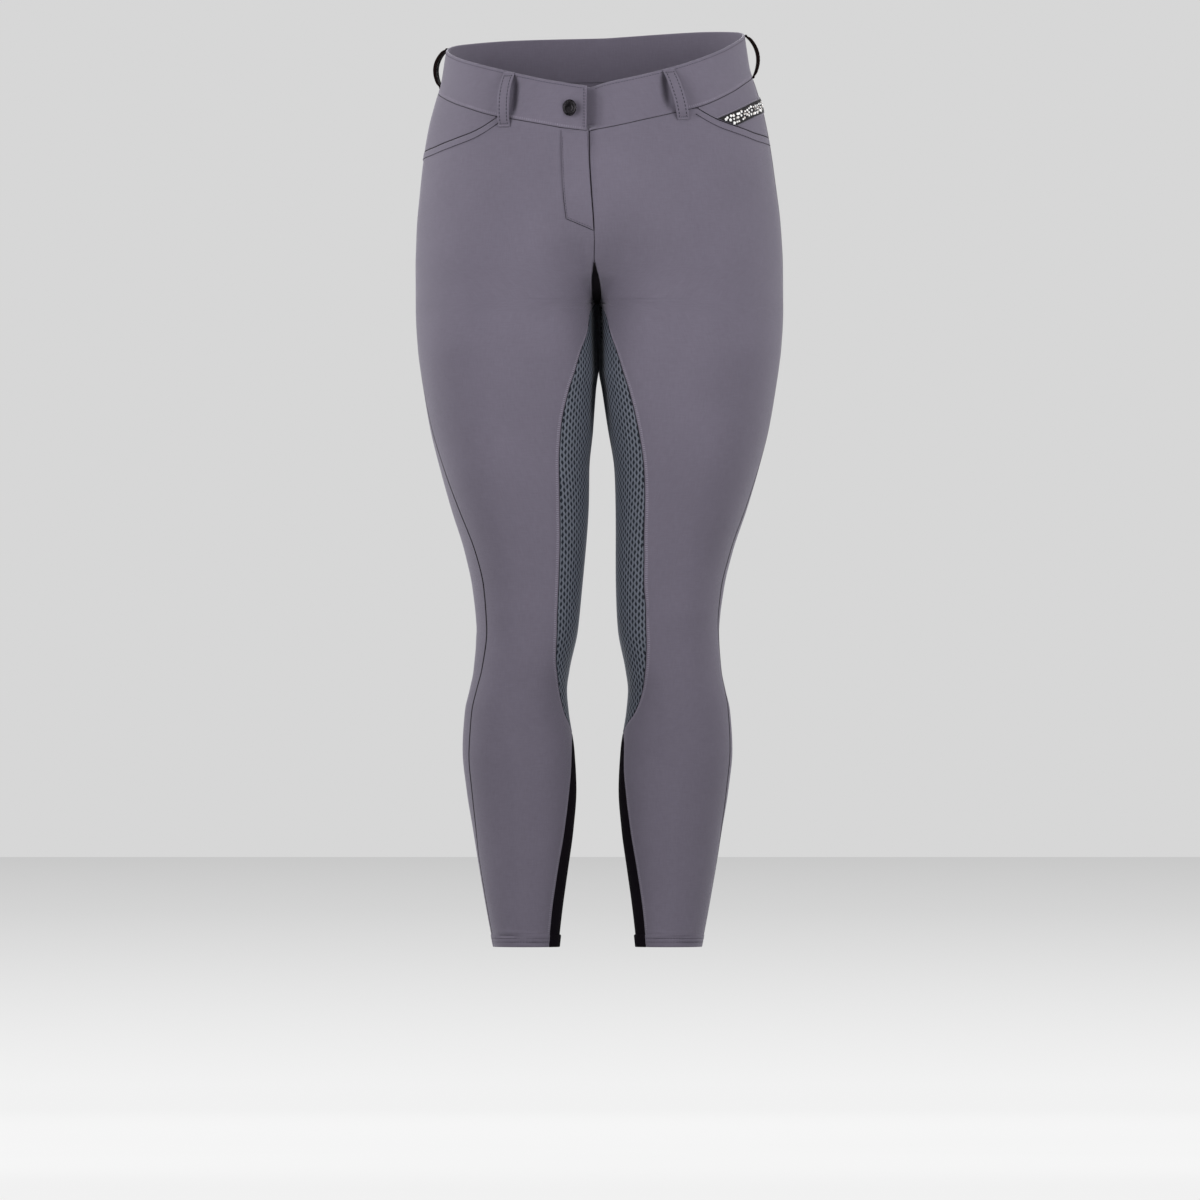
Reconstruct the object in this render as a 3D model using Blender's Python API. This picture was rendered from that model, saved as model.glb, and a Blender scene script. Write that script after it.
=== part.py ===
"""Women's riding breeches standing in their worn shape, with nobody in them.

Each leg is sewn from a front, a back, a grip panel on the seat and inner leg and an elastic calf insert.
Every cut piece is a thin wall of cloth, open at the waist and at both hems.

Lengths in the tables are millimetres and the model is in metres, with +Z up and the front facing -Y.
The origin is the middle of the waist, where the garment is held.
A point of the cloth is named by its leg, its height z and its place u round the leg:
u is 0 at the centre front or inseam, 0.5 at the side and 1 at the centre back or inseam again.
"""
import math

import bpy
import numpy as np

MM = 0.001
LEFT = 1
RIGHT = -1

# cloth and trim thicknesses
CLOTH_WALL = 1.6
BAND_WALL = 2.4
INSERT_WALL = 1.2
LOOP_WALL = 1.8
FLY_WALL = 1.2
TRIM_WALL = 1.3
TURNED_EDGE = 0.6
SEAM_GAP = 0.3
LAY_GAP = 0.4

# heights that shape the garment
FORK_TOP = -80.0
CROTCH = -210.0
HIP_ROUND = -100.0
LEG_ROUND = -320.0
FORK_SPREAD = 0.058
HEM = -857.0
HEM_DEPTH = 12.0
GRIP_TOP = -70.0
GRIP_TOP_BACK = -66.0
GRIP_END = -643.0
MOUTH_BAND = 8.0

# how the wearer stood: hips turned and tipped a little, inner knees and lower legs off to one side
HIP_TURN_DEGREES = -4.4
HIP_TIP = 0.045
HIP_SHIFT = -2.5
CALF_DRIFT = -2.0
KNEE_LEAN = 3.3
KNEE_LEAN_HEIGHT = -415.0

# slide of the front's places round the hips, wave of the touching thighs and cleft of the seat
FRONT_SLIDE = 0.017
CONTACT_WAVE = 1.6
SEAT_CLEFT = 5.0

# details
OVERLAP_END = 0.006
UNDERLAP_LENGTH = 0.085
BUTTON_PLACE = 0.049
BUTTON_HEIGHT = -18.3
BUTTON_RADIUS = 8.0
FRONT_LOOP_WIDTH = 14.0
SIDE_LOOP_WIDTH = 13.0
FRONT_LOOP_BOW = 3.6
SIDE_LOOP_BOW = 8.2
CRYSTAL_BAND_DROP = 17.5
CRYSTAL_BAND_WIDTH = 13.5

# sections of the worn garment, from the top of the waistband to the hem
BODY = (
    ("height", "half_width", "inner", "front", "back", "square", "inner_square"),
    (60.0, 145.5, 0.45, 97.0, 110.0, 2.20, 2.20),
    (36.0, 149.0, 0.45, 99.0, 113.0, 2.20, 2.20),
    (12.0, 153.0, 0.45, 101.0, 116.0, 2.20, 2.20),
    (-6.0, 159.0, 0.45, 103.0, 118.0, 2.20, 2.20),
    (-30.0, 166.0, 0.45, 106.0, 121.0, 2.25, 2.25),
    (-60.0, 172.0, 0.45, 110.0, 125.0, 2.30, 2.30),
    (-100.0, 177.5, 0.45, 113.0, 131.0, 2.35, 2.35),
    (-140.0, 182.0, 0.45, 113.0, 135.0, 2.40, 2.50),
    (-180.0, 183.7, 0.45, 110.0, 136.0, 2.45, 2.80),
    (-220.0, 183.7, 0.45, 107.0, 130.0, 2.55, 3.20),
    (-260.0, 181.5, 0.45, 104.0, 112.0, 2.60, 3.40),
    (-280.0, 179.0, 0.45, 102.5, 103.0, 2.50, 3.45),
    (-300.0, 176.0, 3.00, 101.0, 95.0, 2.35, 3.45),
    (-340.0, 169.0, 7.50, 97.0, 84.0, 2.20, 3.40),
    (-380.0, 159.0, 12.5, 92.0, 76.0, 2.15, 3.35),
    (-420.0, 147.5, 13.5, 85.0, 69.0, 2.10, 3.30),
    (-460.0, 134.5, 15.0, 78.0, 62.0, 2.10, 3.20),
    (-500.0, 125.5, 17.0, 71.0, 56.0, 2.10, 3.10),
    (-540.0, 121.5, 20.0, 65.0, 54.0, 2.10, 2.90),
    (-580.0, 124.0, 28.0, 59.0, 56.0, 2.10, 2.60),
    (-600.0, 128.0, 30.5, 55.0, 60.0, 2.10, 2.40),
    (-620.0, 132.5, 29.0, 51.0, 66.0, 2.10, 2.20),
    (-660.0, 135.0, 23.0, 44.0, 74.0, 2.10, 2.10),
    (-700.0, 131.0, 21.0, 38.0, 76.0, 2.10, 2.10),
    (-740.0, 124.5, 24.0, 34.0, 71.0, 2.10, 2.10),
    (-780.0, 118.0, 29.5, 31.0, 63.0, 2.10, 2.10),
    (-820.0, 111.0, 35.0, 29.0, 56.0, 2.10, 2.10),
    (-860.0, 103.5, 39.5, 28.0, 54.0, 2.10, 2.10),
)

# seam under the waistband and the band's top edge, by place round the waist
WAIST = (
    ("place", "seam", "top"),
    (0.000, -42.0, 2.5),
    (0.067, -38.5, 7.0),
    (0.135, -33.5, 11.5),
    (0.210, -27.5, 18.0),
    (0.267, -22.5, 24.0),
    (0.350, -10.8, 33.5),
    (0.430, 0.0, 42.5),
    (0.500, 5.0, 48.0),
    (0.600, 9.0, 52.5),
    (0.750, 11.0, 55.0),
    (1.000, 9.0, 53.5),
)

# curved edge of the front pocket, from the waist seam to the side seam
POCKET_MOUTH = (
    ("place", "edge"),
    (0.230, -15.0),
    (0.258, -24.5),
    (0.302, -36.5),
    (0.342, -43.0),
    (0.371, -47.0),
    (0.408, -51.5),
    (0.450, -54.0),
    (0.500, -56.0),
)

# lengthwise seams by height: the outer side seam, and the seams behind and before the grip and insert
SEAMS = (
    ("height", "side_left", "side_right", "inner_back", "inner_front_left", "inner_front_right"),
    (20.0, 0.500, 0.500, 0.985, 0.000, 0.000),
    (-70.0, 0.500, 0.500, 0.985, 0.000, 0.000),
    (-74.0, 0.500, 0.500, 0.930, 0.000, 0.000),
    (-80.0, 0.500, 0.500, 0.885, 0.000, 0.000),
    (-90.0, 0.500, 0.500, 0.840, 0.000, 0.000),
    (-100.0, 0.500, 0.500, 0.800, 0.000, 0.000),
    (-120.0, 0.500, 0.500, 0.755, 0.000, 0.000),
    (-140.0, 0.500, 0.500, 0.725, 0.000, 0.000),
    (-170.0, 0.500, 0.500, 0.705, 0.000, 0.000),
    (-210.0, 0.500, 0.500, 0.700, 0.000, 0.000),
    (-216.0, 0.500, 0.500, 0.700, 0.032, 0.032),
    (-222.0, 0.500, 0.500, 0.702, 0.056, 0.056),
    (-240.0, 0.500, 0.500, 0.706, 0.089, 0.084),
    (-260.0, 0.500, 0.495, 0.712, 0.125, 0.120),
    (-280.0, 0.500, 0.486, 0.716, 0.144, 0.139),
    (-300.0, 0.500, 0.475, 0.720, 0.154, 0.148),
    (-340.0, 0.490, 0.455, 0.727, 0.165, 0.155),
    (-400.0, 0.463, 0.422, 0.735, 0.175, 0.160),
    (-440.0, 0.446, 0.398, 0.740, 0.179, 0.164),
    (-470.0, 0.440, 0.384, 0.742, 0.184, 0.169),
    (-495.0, 0.435, 0.379, 0.742, 0.188, 0.171),
    (-520.0, 0.440, 0.379, 0.742, 0.191, 0.173),
    (-545.0, 0.461, 0.379, 0.745, 0.189, 0.168),
    (-570.0, 0.478, 0.384, 0.755, 0.177, 0.155),
    (-600.0, 0.465, 0.397, 0.785, 0.147, 0.116),
    (-625.0, 0.446, 0.405, 0.825, 0.101, 0.075),
    (-643.0, 0.446, 0.409, 0.860, 0.031, 0.021),
    (-652.0, 0.446, 0.412, 0.860, 0.056, 0.045),
    (-678.0, 0.447, 0.420, 0.850, 0.069, 0.069),
    (-705.0, 0.452, 0.424, 0.845, 0.089, 0.089),
    (-740.0, 0.468, 0.438, 0.840, 0.101, 0.101),
    (-770.0, 0.492, 0.454, 0.835, 0.112, 0.112),
    (-805.0, 0.500, 0.455, 0.830, 0.124, 0.124),
    (-857.0, 0.500, 0.447, 0.825, 0.145, 0.145),
)

FLY = (
    ("height", "inner_edge", "outer_edge"),
    (-40.0, 0.007, 0.0785),
    (-80.0, 0.005, 0.0755),
    (-129.0, 0.004, 0.0725),
    (-145.0, 0.004, 0.0715),
)
FLY_CORNER = -129.0
FLY_TIP = -141.0

# place of each front belt loop's top and foot round the waist, by leg
LOOP_PLACES = {LEFT: (0.2015, 0.2235), RIGHT: (0.2390, 0.2360)}

# heights of the rows of points down a panel, and places of its columns at the hips
HIP_ROWS = (-85.0, -100.0, -120.0, -140.0, -156.0, -169.0, -180.0, -190.0, -198.0, -204.0, -208.0, -209.5)
THIGH_ROWS = (-210.0, -212.5, -217.0, -222.0, -231.0, -244.0, -260.0, -280.0, -300.0, -325.0, -355.0)
LEG_ROWS = (-390.0, -425.0, -460.0, -495.0, -530.0, -560.0, -590.0, -615.0, -630.0, -643.0)
CALF_ROWS = (-652.0, -665.0, -690.0, -720.0, -755.0, -790.0, -820.0, -844.0, -845.0, -857.0)
PANEL_PLACES = (0.0, 0.042, 0.083, 0.125, 0.167, 0.212, 0.258, 0.292, 0.333, 0.375, 0.417, 0.458, 0.5)

# colour, roughness and metal of each finish
MATERIALS = {
    "stretch_cloth": ((0.180, 0.165, 0.205), 0.80, 0.0),
    "grip_cloth": ((0.075, 0.085, 0.105), 0.55, 0.0),
    "black_elastic": ((0.017, 0.014, 0.020), 0.85, 0.0),
    "dark_loop": ((0.012, 0.007, 0.006), 0.60, 0.0),
    "button_metal": ((0.060, 0.058, 0.062), 0.25, 1.0),
    "crystal_trim": ((0.030, 0.027, 0.030), 0.35, 0.0),
}


def along(table, name, at):
    """Smooth value of a named column at the given places of the table's first column."""
    at = np.asarray(at, dtype=float)
    key = np.array([row[0] for row in table[1:]], dtype=float)
    value = np.array([row[table[0].index(name)] for row in table[1:]], dtype=float)
    if key[0] > key[-1]:
        key = key[::-1]
        value = value[::-1]
    step = np.diff(key)
    slope = np.diff(value) / step
    tangent = np.zeros(len(key))
    tangent[0] = slope[0]
    tangent[-1] = slope[-1]
    same_way = slope[:-1] * slope[1:] > 0
    weight_a = 2 * step[1:] + step[:-1]
    weight_b = step[1:] + 2 * step[:-1]
    before = np.where(same_way, slope[:-1], 1.0)
    after = np.where(same_way, slope[1:], 1.0)
    inner = (weight_a + weight_b) / (weight_a / before + weight_b / after)
    tangent[1:-1] = np.where(same_way, inner, 0.0)
    place = np.clip(np.searchsorted(key, at) - 1, 0, len(key) - 2)
    h = step[place]
    t = np.clip((at - key[place]) / h, 0.0, 1.0)
    a = (1 + 2 * t) * (1 - t) ** 2 * value[place]
    b = t * (1 - t) ** 2 * h * tangent[place]
    c = t * t * (3 - 2 * t) * value[place + 1]
    d = t * t * (t - 1) * h * tangent[place + 1]
    return a + b + c + d


def ease(low, high, at):
    """0 below low, 1 above high and a smooth step between."""
    t = np.clip((at - low) / (high - low), 0.0, 1.0)
    return t * t * (3 - 2 * t)


def stand(x, y, z):
    """Tipped and turned hips, drifted calves, leaning inner knees and the wave where the thighs touch."""
    hips = ease(-240.0, -30.0, z)
    turn = math.radians(HIP_TURN_DEGREES) * hips
    thighs = ease(-340.0, -285.0, z) * (1 - ease(-235.0, -205.0, z))
    wave = CONTACT_WAVE * thighs * np.sin(math.pi * y / 50.0) * np.exp(-((x / 35.0) ** 2))
    drift = CALF_DRIFT * (1 - ease(-600.0, -350.0, z))
    lean = KNEE_LEAN * np.exp(-(((z - KNEE_LEAN_HEIGHT) / 75.0) ** 2) - (x / 45.0) ** 2)
    new_x = x * np.cos(turn) - y * np.sin(turn) + HIP_SHIFT * hips + drift + lean + wave
    new_y = x * np.sin(turn) + y * np.cos(turn)
    new_z = z + HIP_TIP * x * hips
    return np.stack([new_x, new_y, new_z], axis=-1)


def skin(leg, z, u):
    """Points on the outer face of the cloth, in millimetres."""
    z, u = np.broadcast_arrays(np.asarray(z, dtype=float), np.asarray(u, dtype=float))
    half_width = along(BODY, "half_width", z)
    inner = along(BODY, "inner", z)
    front = along(BODY, "front", z)
    back = along(BODY, "back", z)
    square = along(BODY, "square", z)
    inner_square = along(BODY, "inner_square", z)
    middle = (back - front) / 2
    depth = (back + front) / 2
    u = u + leg * FRONT_SLIDE * ease(-170.0, -60.0, z) * np.sin(2 * math.pi * np.clip(u, 0.0, 0.5)) ** 2
    around = np.where(z <= CROTCH, np.mod(u, 1.0), u)
    hip_angle = math.pi * around
    reach = np.abs(np.sin(hip_angle) / half_width) ** square + np.abs(np.cos(hip_angle) / depth) ** square
    reach = reach ** (-1 / square)
    hip_x = reach * np.sin(hip_angle)
    hip_y = middle - reach * np.cos(hip_angle)
    leg_angle = 2 * math.pi * u
    half = (half_width - inner) / 2
    rounding = np.where(np.cos(leg_angle) > 0, inner_square, square)
    reach = np.abs(np.cos(leg_angle) / half) ** rounding + np.abs(np.sin(leg_angle) / depth) ** rounding
    reach = reach ** (-1 / rounding)
    leg_x = (half_width + inner) / 2 - reach * np.cos(leg_angle)
    leg_y = middle - reach * np.sin(leg_angle)
    down = np.clip((FORK_TOP - z) / (FORK_TOP - CROTCH), 0.0, 1.0)
    crotch = 1 - (1 - down ** 3) ** (1 / 3)
    thigh = 1 - ease(LEG_ROUND, HIP_ROUND, z)
    from_seam = np.minimum(np.abs(u), np.abs(1 - u))
    forked = thigh + (crotch - thigh) * np.exp(-((from_seam / FORK_SPREAD) ** 2))
    x = hip_x + (leg_x - hip_x) * forked
    y = hip_y + (leg_y - hip_y) * forked
    seat = ease(0.5, 0.8, around) * (1 - forked) * np.exp(-(((z + 165.0) / 55.0) ** 2))
    y = y - SEAT_CLEFT * seat * np.exp(-((x / 30.0) ** 2))
    return stand(leg * x, y, z)


def facing(leg, z, u):
    """Unit directions out of the cloth."""
    across = skin(leg, z, np.asarray(u) + 0.002) - skin(leg, z, np.asarray(u) - 0.002)
    upward = skin(leg, np.asarray(z) + 0.4, u) - skin(leg, np.asarray(z) - 0.4, u)
    out = leg * np.cross(across, upward)
    return out / np.linalg.norm(out, axis=-1, keepdims=True)


def inset(points, out, gap):
    """Moves the border of a grid of points inward by half a seam gap."""
    moved = points.copy()
    for axis, index in ((0, 0), (0, -1), (1, 0), (1, -1)):
        border = np.take(points, index, axis=axis)
        beside = np.take(points, 1 if index == 0 else -2, axis=axis)
        normal = np.take(out, index, axis=axis)
        run = np.gradient(border, axis=0)
        inward = np.cross(normal, run)
        inward = inward / np.linalg.norm(inward, axis=-1, keepdims=True)
        sign = 1.0 if np.sum(inward * (beside - border)) > 0 else -1.0
        shift = inward * sign * gap / 2
        if axis == 0:
            moved[index] = moved[index] + shift
        else:
            moved[:, index] = moved[:, index] + shift
    return moved


def add_node(name, points, faces, material):
    """One named sub-part from points in millimetres."""
    mesh = bpy.data.meshes.new(name)
    mesh.from_pydata([tuple(float(v) * MM for v in p) for p in points], [], faces)
    mesh.materials.append(bpy.data.materials[material])
    mesh.validate()
    for polygon in mesh.polygons:
        polygon.use_smooth = True
    node = bpy.data.objects.new(name, mesh)
    bpy.context.collection.objects.link(node)
    return node


def add_wall(name, outer, inner, material):
    """Closed wall of cloth between an outer and an inner grid of points."""
    rows, columns = outer.shape[:2]
    points = np.concatenate([outer.reshape(-1, 3), inner.reshape(-1, 3)])
    count = rows * columns
    edge_a = outer[1:, :-1] - outer[:-1, :-1]
    edge_b = outer[:-1, 1:] - outer[:-1, :-1]
    flip = np.sum(np.cross(edge_a, edge_b) * (outer - inner)[:-1, :-1]) < 0
    faces = []
    for r in range(rows - 1):
        for c in range(columns - 1):
            a = r * columns + c
            faces.append((a, a + columns, a + columns + 1, a + 1))
            faces.append((count + a, count + a + 1, count + a + columns + 1, count + a + columns))
    ring = [(0, c) for c in range(columns)]
    ring += [(r, columns - 1) for r in range(1, rows)]
    ring += [(rows - 1, c) for c in range(columns - 2, -1, -1)]
    ring += [(r, 0) for r in range(rows - 2, 0, -1)]
    ring = [r * columns + c for r, c in ring]
    for here, there in zip(ring, ring[1:] + ring[:1]):
        faces.append((here, there, there + count, here + count))
    if flip:
        faces = [tuple(reversed(face)) for face in faces]
    return add_node(name, points, faces, material)


def add_cloth(name, leg, z, u, wall, material, lift=0.0):
    """Panel of cloth over a grid of heights and places, its edges set back by half a seam gap."""
    z, u = np.broadcast_arrays(np.asarray(z, dtype=float), np.asarray(u, dtype=float))
    out = facing(leg, z, u)
    plain = inset(skin(leg, z, u), out, SEAM_GAP)
    lift = np.broadcast_to(np.asarray(lift, dtype=float), z.shape)[..., None]
    return add_wall(name, plain + out * lift, plain - out * wall, material)


def add_overlay(name, leg, z, u, wall, material, lift):
    """Strip that lies on a panel, made from the panel's points moved out."""
    out = facing(leg, z, u)
    base = skin(leg, z, u)
    lift = np.broadcast_to(np.asarray(lift, dtype=float), z.shape)[..., None]
    return add_wall(name, base + out * (lift + wall), base + out * lift, material)


def seam(leg, name, z):
    """Place of a lengthwise seam at the given heights."""
    side = "left" if leg == LEFT else "right"
    if name == "side":
        return along(SEAMS, "side_" + side, z)
    if name == "inner_front":
        return along(SEAMS, "inner_front_" + side, z)
    return along(SEAMS, "inner_back", z)


def hem_lift(z):
    """The turned hem stands a little proud of the leg."""
    return TURNED_EDGE * (z <= HEM + HEM_DEPTH + 0.01)


def front_panel(leg, name):
    """Front of one leg, from the waist seam and pocket mouth to the hem."""
    share = np.linspace(0.0, 1.0, 13)
    top_u = np.array(PANEL_PLACES)
    waist = along(WAIST, "seam", top_u)
    mouth = np.where(top_u >= 0.258, along(POCKET_MOUTH, "edge", top_u), 0.0)
    top = np.minimum(waist, mouth)
    pocketed = (top_u > 0.25).astype(float)
    heights = [top, top - MOUTH_BAND, top - MOUTH_BAND - 1.2]
    places = [top_u, top_u, top_u]
    lifts = [pocketed * TURNED_EDGE, pocketed * TURNED_EDGE, pocketed * 0.0]
    for z in HIP_ROWS + THIGH_ROWS + LEG_ROWS + CALF_ROWS:
        row = np.full(len(share), z)
        even = seam(leg, "inner_front", z) + share * (seam(leg, "side", z) - seam(leg, "inner_front", z))
        blend = ease(-220.0, -85.0, z)
        heights.append(row)
        places.append(even + (top_u - share * 0.5) * blend)
        lifts.append(hem_lift(row))
    z, u, lift = np.array(heights), np.array(places), np.array(lifts)
    return add_cloth(name, leg, z, u, CLOTH_WALL, "stretch_cloth", lift)


def back_panel(leg, name):
    """Back of one leg, from the waist seam round the seat grip to the hem."""
    share = np.linspace(0.0, 1.0, 11)
    top_u = 0.5 + share * 0.5
    waist = along(WAIST, "seam", top_u)
    heights = [waist, waist * 0.5 - 28.0]
    places = [top_u, top_u]
    heights.append(np.linspace(-58.0, -50.0, 11))
    places.append(top_u)
    heights.append(np.linspace(GRIP_TOP, GRIP_TOP_BACK, 11))
    places.append(top_u)
    rows = (-71.5, -74.0, -78.0) + HIP_ROWS + THIGH_ROWS + LEG_ROWS + CALF_ROWS
    lifts = [0.0 * share] * 4
    for z in (GRIP_TOP,) + rows:
        row = np.full(len(share), z)
        heights.append(row)
        places.append(seam(leg, "side", z) + share * (seam(leg, "inner_back", z) - seam(leg, "side", z)))
        lifts.append(hem_lift(row))
    z, u, lift = np.array(heights), np.array(places), np.array(lifts)
    return add_cloth(name, leg, z, u, CLOTH_WALL, "stretch_cloth", lift)


def grip_panel(leg, name):
    """Grip cloth over one half of the seat and down the inner leg to the calf."""
    share = np.linspace(0.0, 1.0, 11)
    heights = [np.linspace(GRIP_TOP, GRIP_TOP_BACK, 11) - SEAM_GAP]
    places = [0.985 + 0.015 * share]
    for z in (-71.5, -74.0, -78.0) + HIP_ROWS + THIGH_ROWS + LEG_ROWS:
        back = seam(leg, "inner_back", z)
        front = seam(leg, "inner_front", z) - 0.003 * (CROTCH - 3.0 < z < CROTCH + 1.0)
        heights.append(np.full(len(share), z))
        places.append(back + share * (1.0 + front - back))
    return add_cloth(name, leg, np.array(heights), np.array(places), CLOTH_WALL, "grip_cloth")


def insert_panel(leg, name):
    """Elastic insert inside one calf, from the grip to the hem."""
    share = np.linspace(0.0, 1.0, 7)
    heights = []
    places = []
    lifts = []
    for z in (GRIP_END,) + CALF_ROWS:
        back = seam(leg, "inner_back", z)
        heights.append(np.full(len(share), z))
        places.append(back + share * (1.0 + seam(leg, "inner_front", z) - back))
        lifts.append(hem_lift(heights[-1]))
    z, u, lift = np.array(heights), np.array(places), np.array(lifts)
    return add_cloth(name, leg, z, u, INSERT_WALL, "black_elastic", lift)


def pocket_facing(leg, name):
    """Cloth seen above the pocket mouth, between it, the waist seam and the side seam."""
    u = np.array((0.2615,) + PANEL_PLACES[7:])
    waist = along(WAIST, "seam", u)
    mouth = along(POCKET_MOUTH, "edge", u)
    mouth[0] = mouth[0] + SEAM_GAP
    share = np.linspace(0.0, 1.0, 5)[:, None]
    return add_cloth(name, leg, waist + (mouth - waist) * share, u + 0 * share, CLOTH_WALL, "stretch_cloth")


def band_point(run, share):
    """Leg, height and place on the waistband.

    A run is 0 at the centre front, 1 at the centre back and 2 at the centre front again.
    """
    leg = RIGHT if run <= 1 or run > 2 else LEFT
    u = run if run <= 1 else abs(2 - run)
    low = along(WAIST, "seam", u) + (SEAM_GAP if share == 0 else 0.0)
    high = along(WAIST, "top", u)
    return leg, low + (high - low) * share, u


def waistband(name):
    """One strip round the waist: the wearer's right end on top, the left end passing under it."""
    runs = [OVERLAP_END, 0.03, 0.065]
    runs += list(np.arange(0.10, 1.901, 0.05))
    runs += [1.925, 1.95, 1.975, 2.0 - OVERLAP_END, 2.03, 2.0 + UNDERLAP_LENGTH]
    shares = (0.0, 0.33, 0.67, 1.0)
    outer = []
    inner = []
    for share in shares:
        row_out = []
        row_in = []
        for run in runs:
            leg, z, u = band_point(run, share)
            drop = (BAND_WALL + SEAM_GAP + 0.15) * float(ease(1.93, 1.99, run))
            point = skin(leg, z, u)
            out = facing(leg, z, u)
            row_out.append(point - out * drop)
            row_in.append(point - out * (drop + BAND_WALL))
        outer.append(row_out)
        inner.append(row_in)
    return add_wall(name, np.array(outer), np.array(inner), "stretch_cloth")


def fly(name):
    """Raised fly on the wearer's right front, its lower edge cut at an angle."""
    across = np.linspace(0.0, 1.0, 5)[None, :]
    down = np.linspace(0.0, 1.0, 7)[:, None]
    foot = FLY_TIP + (FLY_CORNER - FLY_TIP) * across
    z = -43.5 + (foot + 43.5) * down
    inner_edge = along(FLY, "inner_edge", z)
    outer_edge = along(FLY, "outer_edge", z)
    u = inner_edge + (outer_edge - inner_edge) * across
    z = z + 3.0 * across * (1 - down)
    return add_overlay(name, RIGHT, z, u, FLY_WALL, "stretch_cloth", LAY_GAP)


def belt_loop(leg, name, top_u, foot_u, width, bow, material, top_drop, foot_drop):
    """Strap over the waistband, both ends on the cloth and its middle standing off."""
    down = np.array([0.0, 0.06, 0.16, 0.30, 0.50, 0.70, 0.84, 0.94, 1.0])[:, None]
    across = np.array([-0.5, 0.0, 0.5])[None, :]
    u = top_u + (foot_u - top_u) * down + 0 * across
    top = along(WAIST, "top", top_u) - top_drop
    foot = along(WAIST, "seam", foot_u) - foot_drop
    z = top + (foot - top) * down + 0 * across
    reach = np.linalg.norm(skin(leg, z, u + 0.01) - skin(leg, z, u - 0.01), axis=-1) / 0.02
    u = u + across * width / reach
    lift = LAY_GAP + bow * np.clip(np.sin(math.pi * np.clip((down - 0.05) / 0.9, 0, 1)), 0, 1) ** 0.7
    return add_overlay(name, leg, z, u, LOOP_WALL, material, lift + 0 * across)


def crystal_band(name):
    """Black trim across the wearer's left pocket facing, cut along the pocket mouth at its front end."""
    share = np.linspace(0.0, 1.0, 4)[:, None]
    places = np.linspace(0.26, 0.5, 400)
    edge = along(POCKET_MOUTH, "edge", places) + 1.2
    starts = []
    for drop in CRYSTAL_BAND_DROP + CRYSTAL_BAND_WIDTH * share[:, 0]:
        line = along(WAIST, "seam", places) - drop
        starts.append(places[int(np.argmax(line > edge))])
    start = np.array(starts)[:, None]
    u = start + (0.4965 - start) * np.linspace(0.0, 1.0, 9)[None, :]
    z = along(WAIST, "seam", u) - CRYSTAL_BAND_DROP - CRYSTAL_BAND_WIDTH * share
    return add_overlay(name, LEFT, z, u, TRIM_WALL, "crystal_trim", LAY_GAP + 0.2)


def waist_button(name):
    """Round sewn-on button with a raised rim, on the overlapping end of the waistband."""
    profile = ((0.0, 0.0), (3.0, 0.0), (3.0, 1.2), (7.2, 1.2), (8.0, 1.9), (8.0, 2.8), (7.2, 3.5))
    profile += ((6.3, 3.5), (5.6, 3.0), (3.0, 3.3), (0.0, 3.4))
    centre = skin(RIGHT, BUTTON_HEIGHT, BUTTON_PLACE)
    out = facing(RIGHT, BUTTON_HEIGHT, BUTTON_PLACE)
    sideways = np.cross((0.0, 0.0, 1.0), out)
    sideways = sideways / np.linalg.norm(sideways)
    upward = np.cross(out, sideways)
    steps = 20
    points = [centre + out * (LAY_GAP + profile[0][1])]
    for radius, height in profile[1:-1]:
        for k in range(steps):
            angle = 2 * math.pi * k / steps
            spoke = sideways * math.cos(angle) + upward * math.sin(angle)
            points.append(centre + out * (LAY_GAP + height) + spoke * radius * BUTTON_RADIUS / 8.0)
    points.append(centre + out * (LAY_GAP + profile[-1][1]))
    last = len(points) - 1
    faces = []
    for k in range(steps):
        following = (k + 1) % steps
        faces.append((0, 1 + following, 1 + k))
        for ring in range(len(profile) - 3):
            a = 1 + ring * steps
            b = a + steps
            faces.append((a + k, a + following, b + following, b + k))
        a = 1 + (len(profile) - 3) * steps
        faces.append((a + k, a + following, last))
    return add_node(name, points, faces, "button_metal")


for thing in list(bpy.data.objects):
    bpy.data.objects.remove(thing, do_unlink=True)

for slot, (colour, roughness, metallic) in MATERIALS.items():
    material = bpy.data.materials.new(slot)
    material.use_nodes = True
    shader = material.node_tree.nodes["Principled BSDF"]
    shader.inputs["Base Color"].default_value = colour + (1.0,)
    shader.inputs["Roughness"].default_value = roughness
    shader.inputs["Metallic"].default_value = metallic
    material.diffuse_color = colour + (1.0,)

for leg, side in ((LEFT, "left"), (RIGHT, "right")):
    front_panel(leg, "front_" + side)
    back_panel(leg, "back_" + side)
    grip_panel(leg, "grip_" + side)
    insert_panel(leg, "calf_insert_" + side)
    pocket_facing(leg, "pocket_facing_" + side)
    belt_loop(
        leg, "belt_loop_front_" + side, *LOOP_PLACES[leg], FRONT_LOOP_WIDTH, FRONT_LOOP_BOW,
        "stretch_cloth", 1.0, 9.0,
    )
    belt_loop(
        leg, "belt_loop_side_" + side, 0.530, 0.530, SIDE_LOOP_WIDTH, SIDE_LOOP_BOW,
        "dark_loop", 1.0, -1.5,
    )

waistband("waistband")
fly("fly")
crystal_band("crystal_band")
waist_button("waist_button")
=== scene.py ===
"""Looks of the riding breeches: cloth, grip net, stitching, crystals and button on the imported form.

Lengths in the tables are millimetres and the scene is in metres, with +Z up and the front facing -Y.
A point of the cloth is named by its leg, its height z and its place u round the leg:
u is 0 at the centre front or inseam, 0.5 at the side and 1 at the centre back or inseam again.
"""

import math

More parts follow.
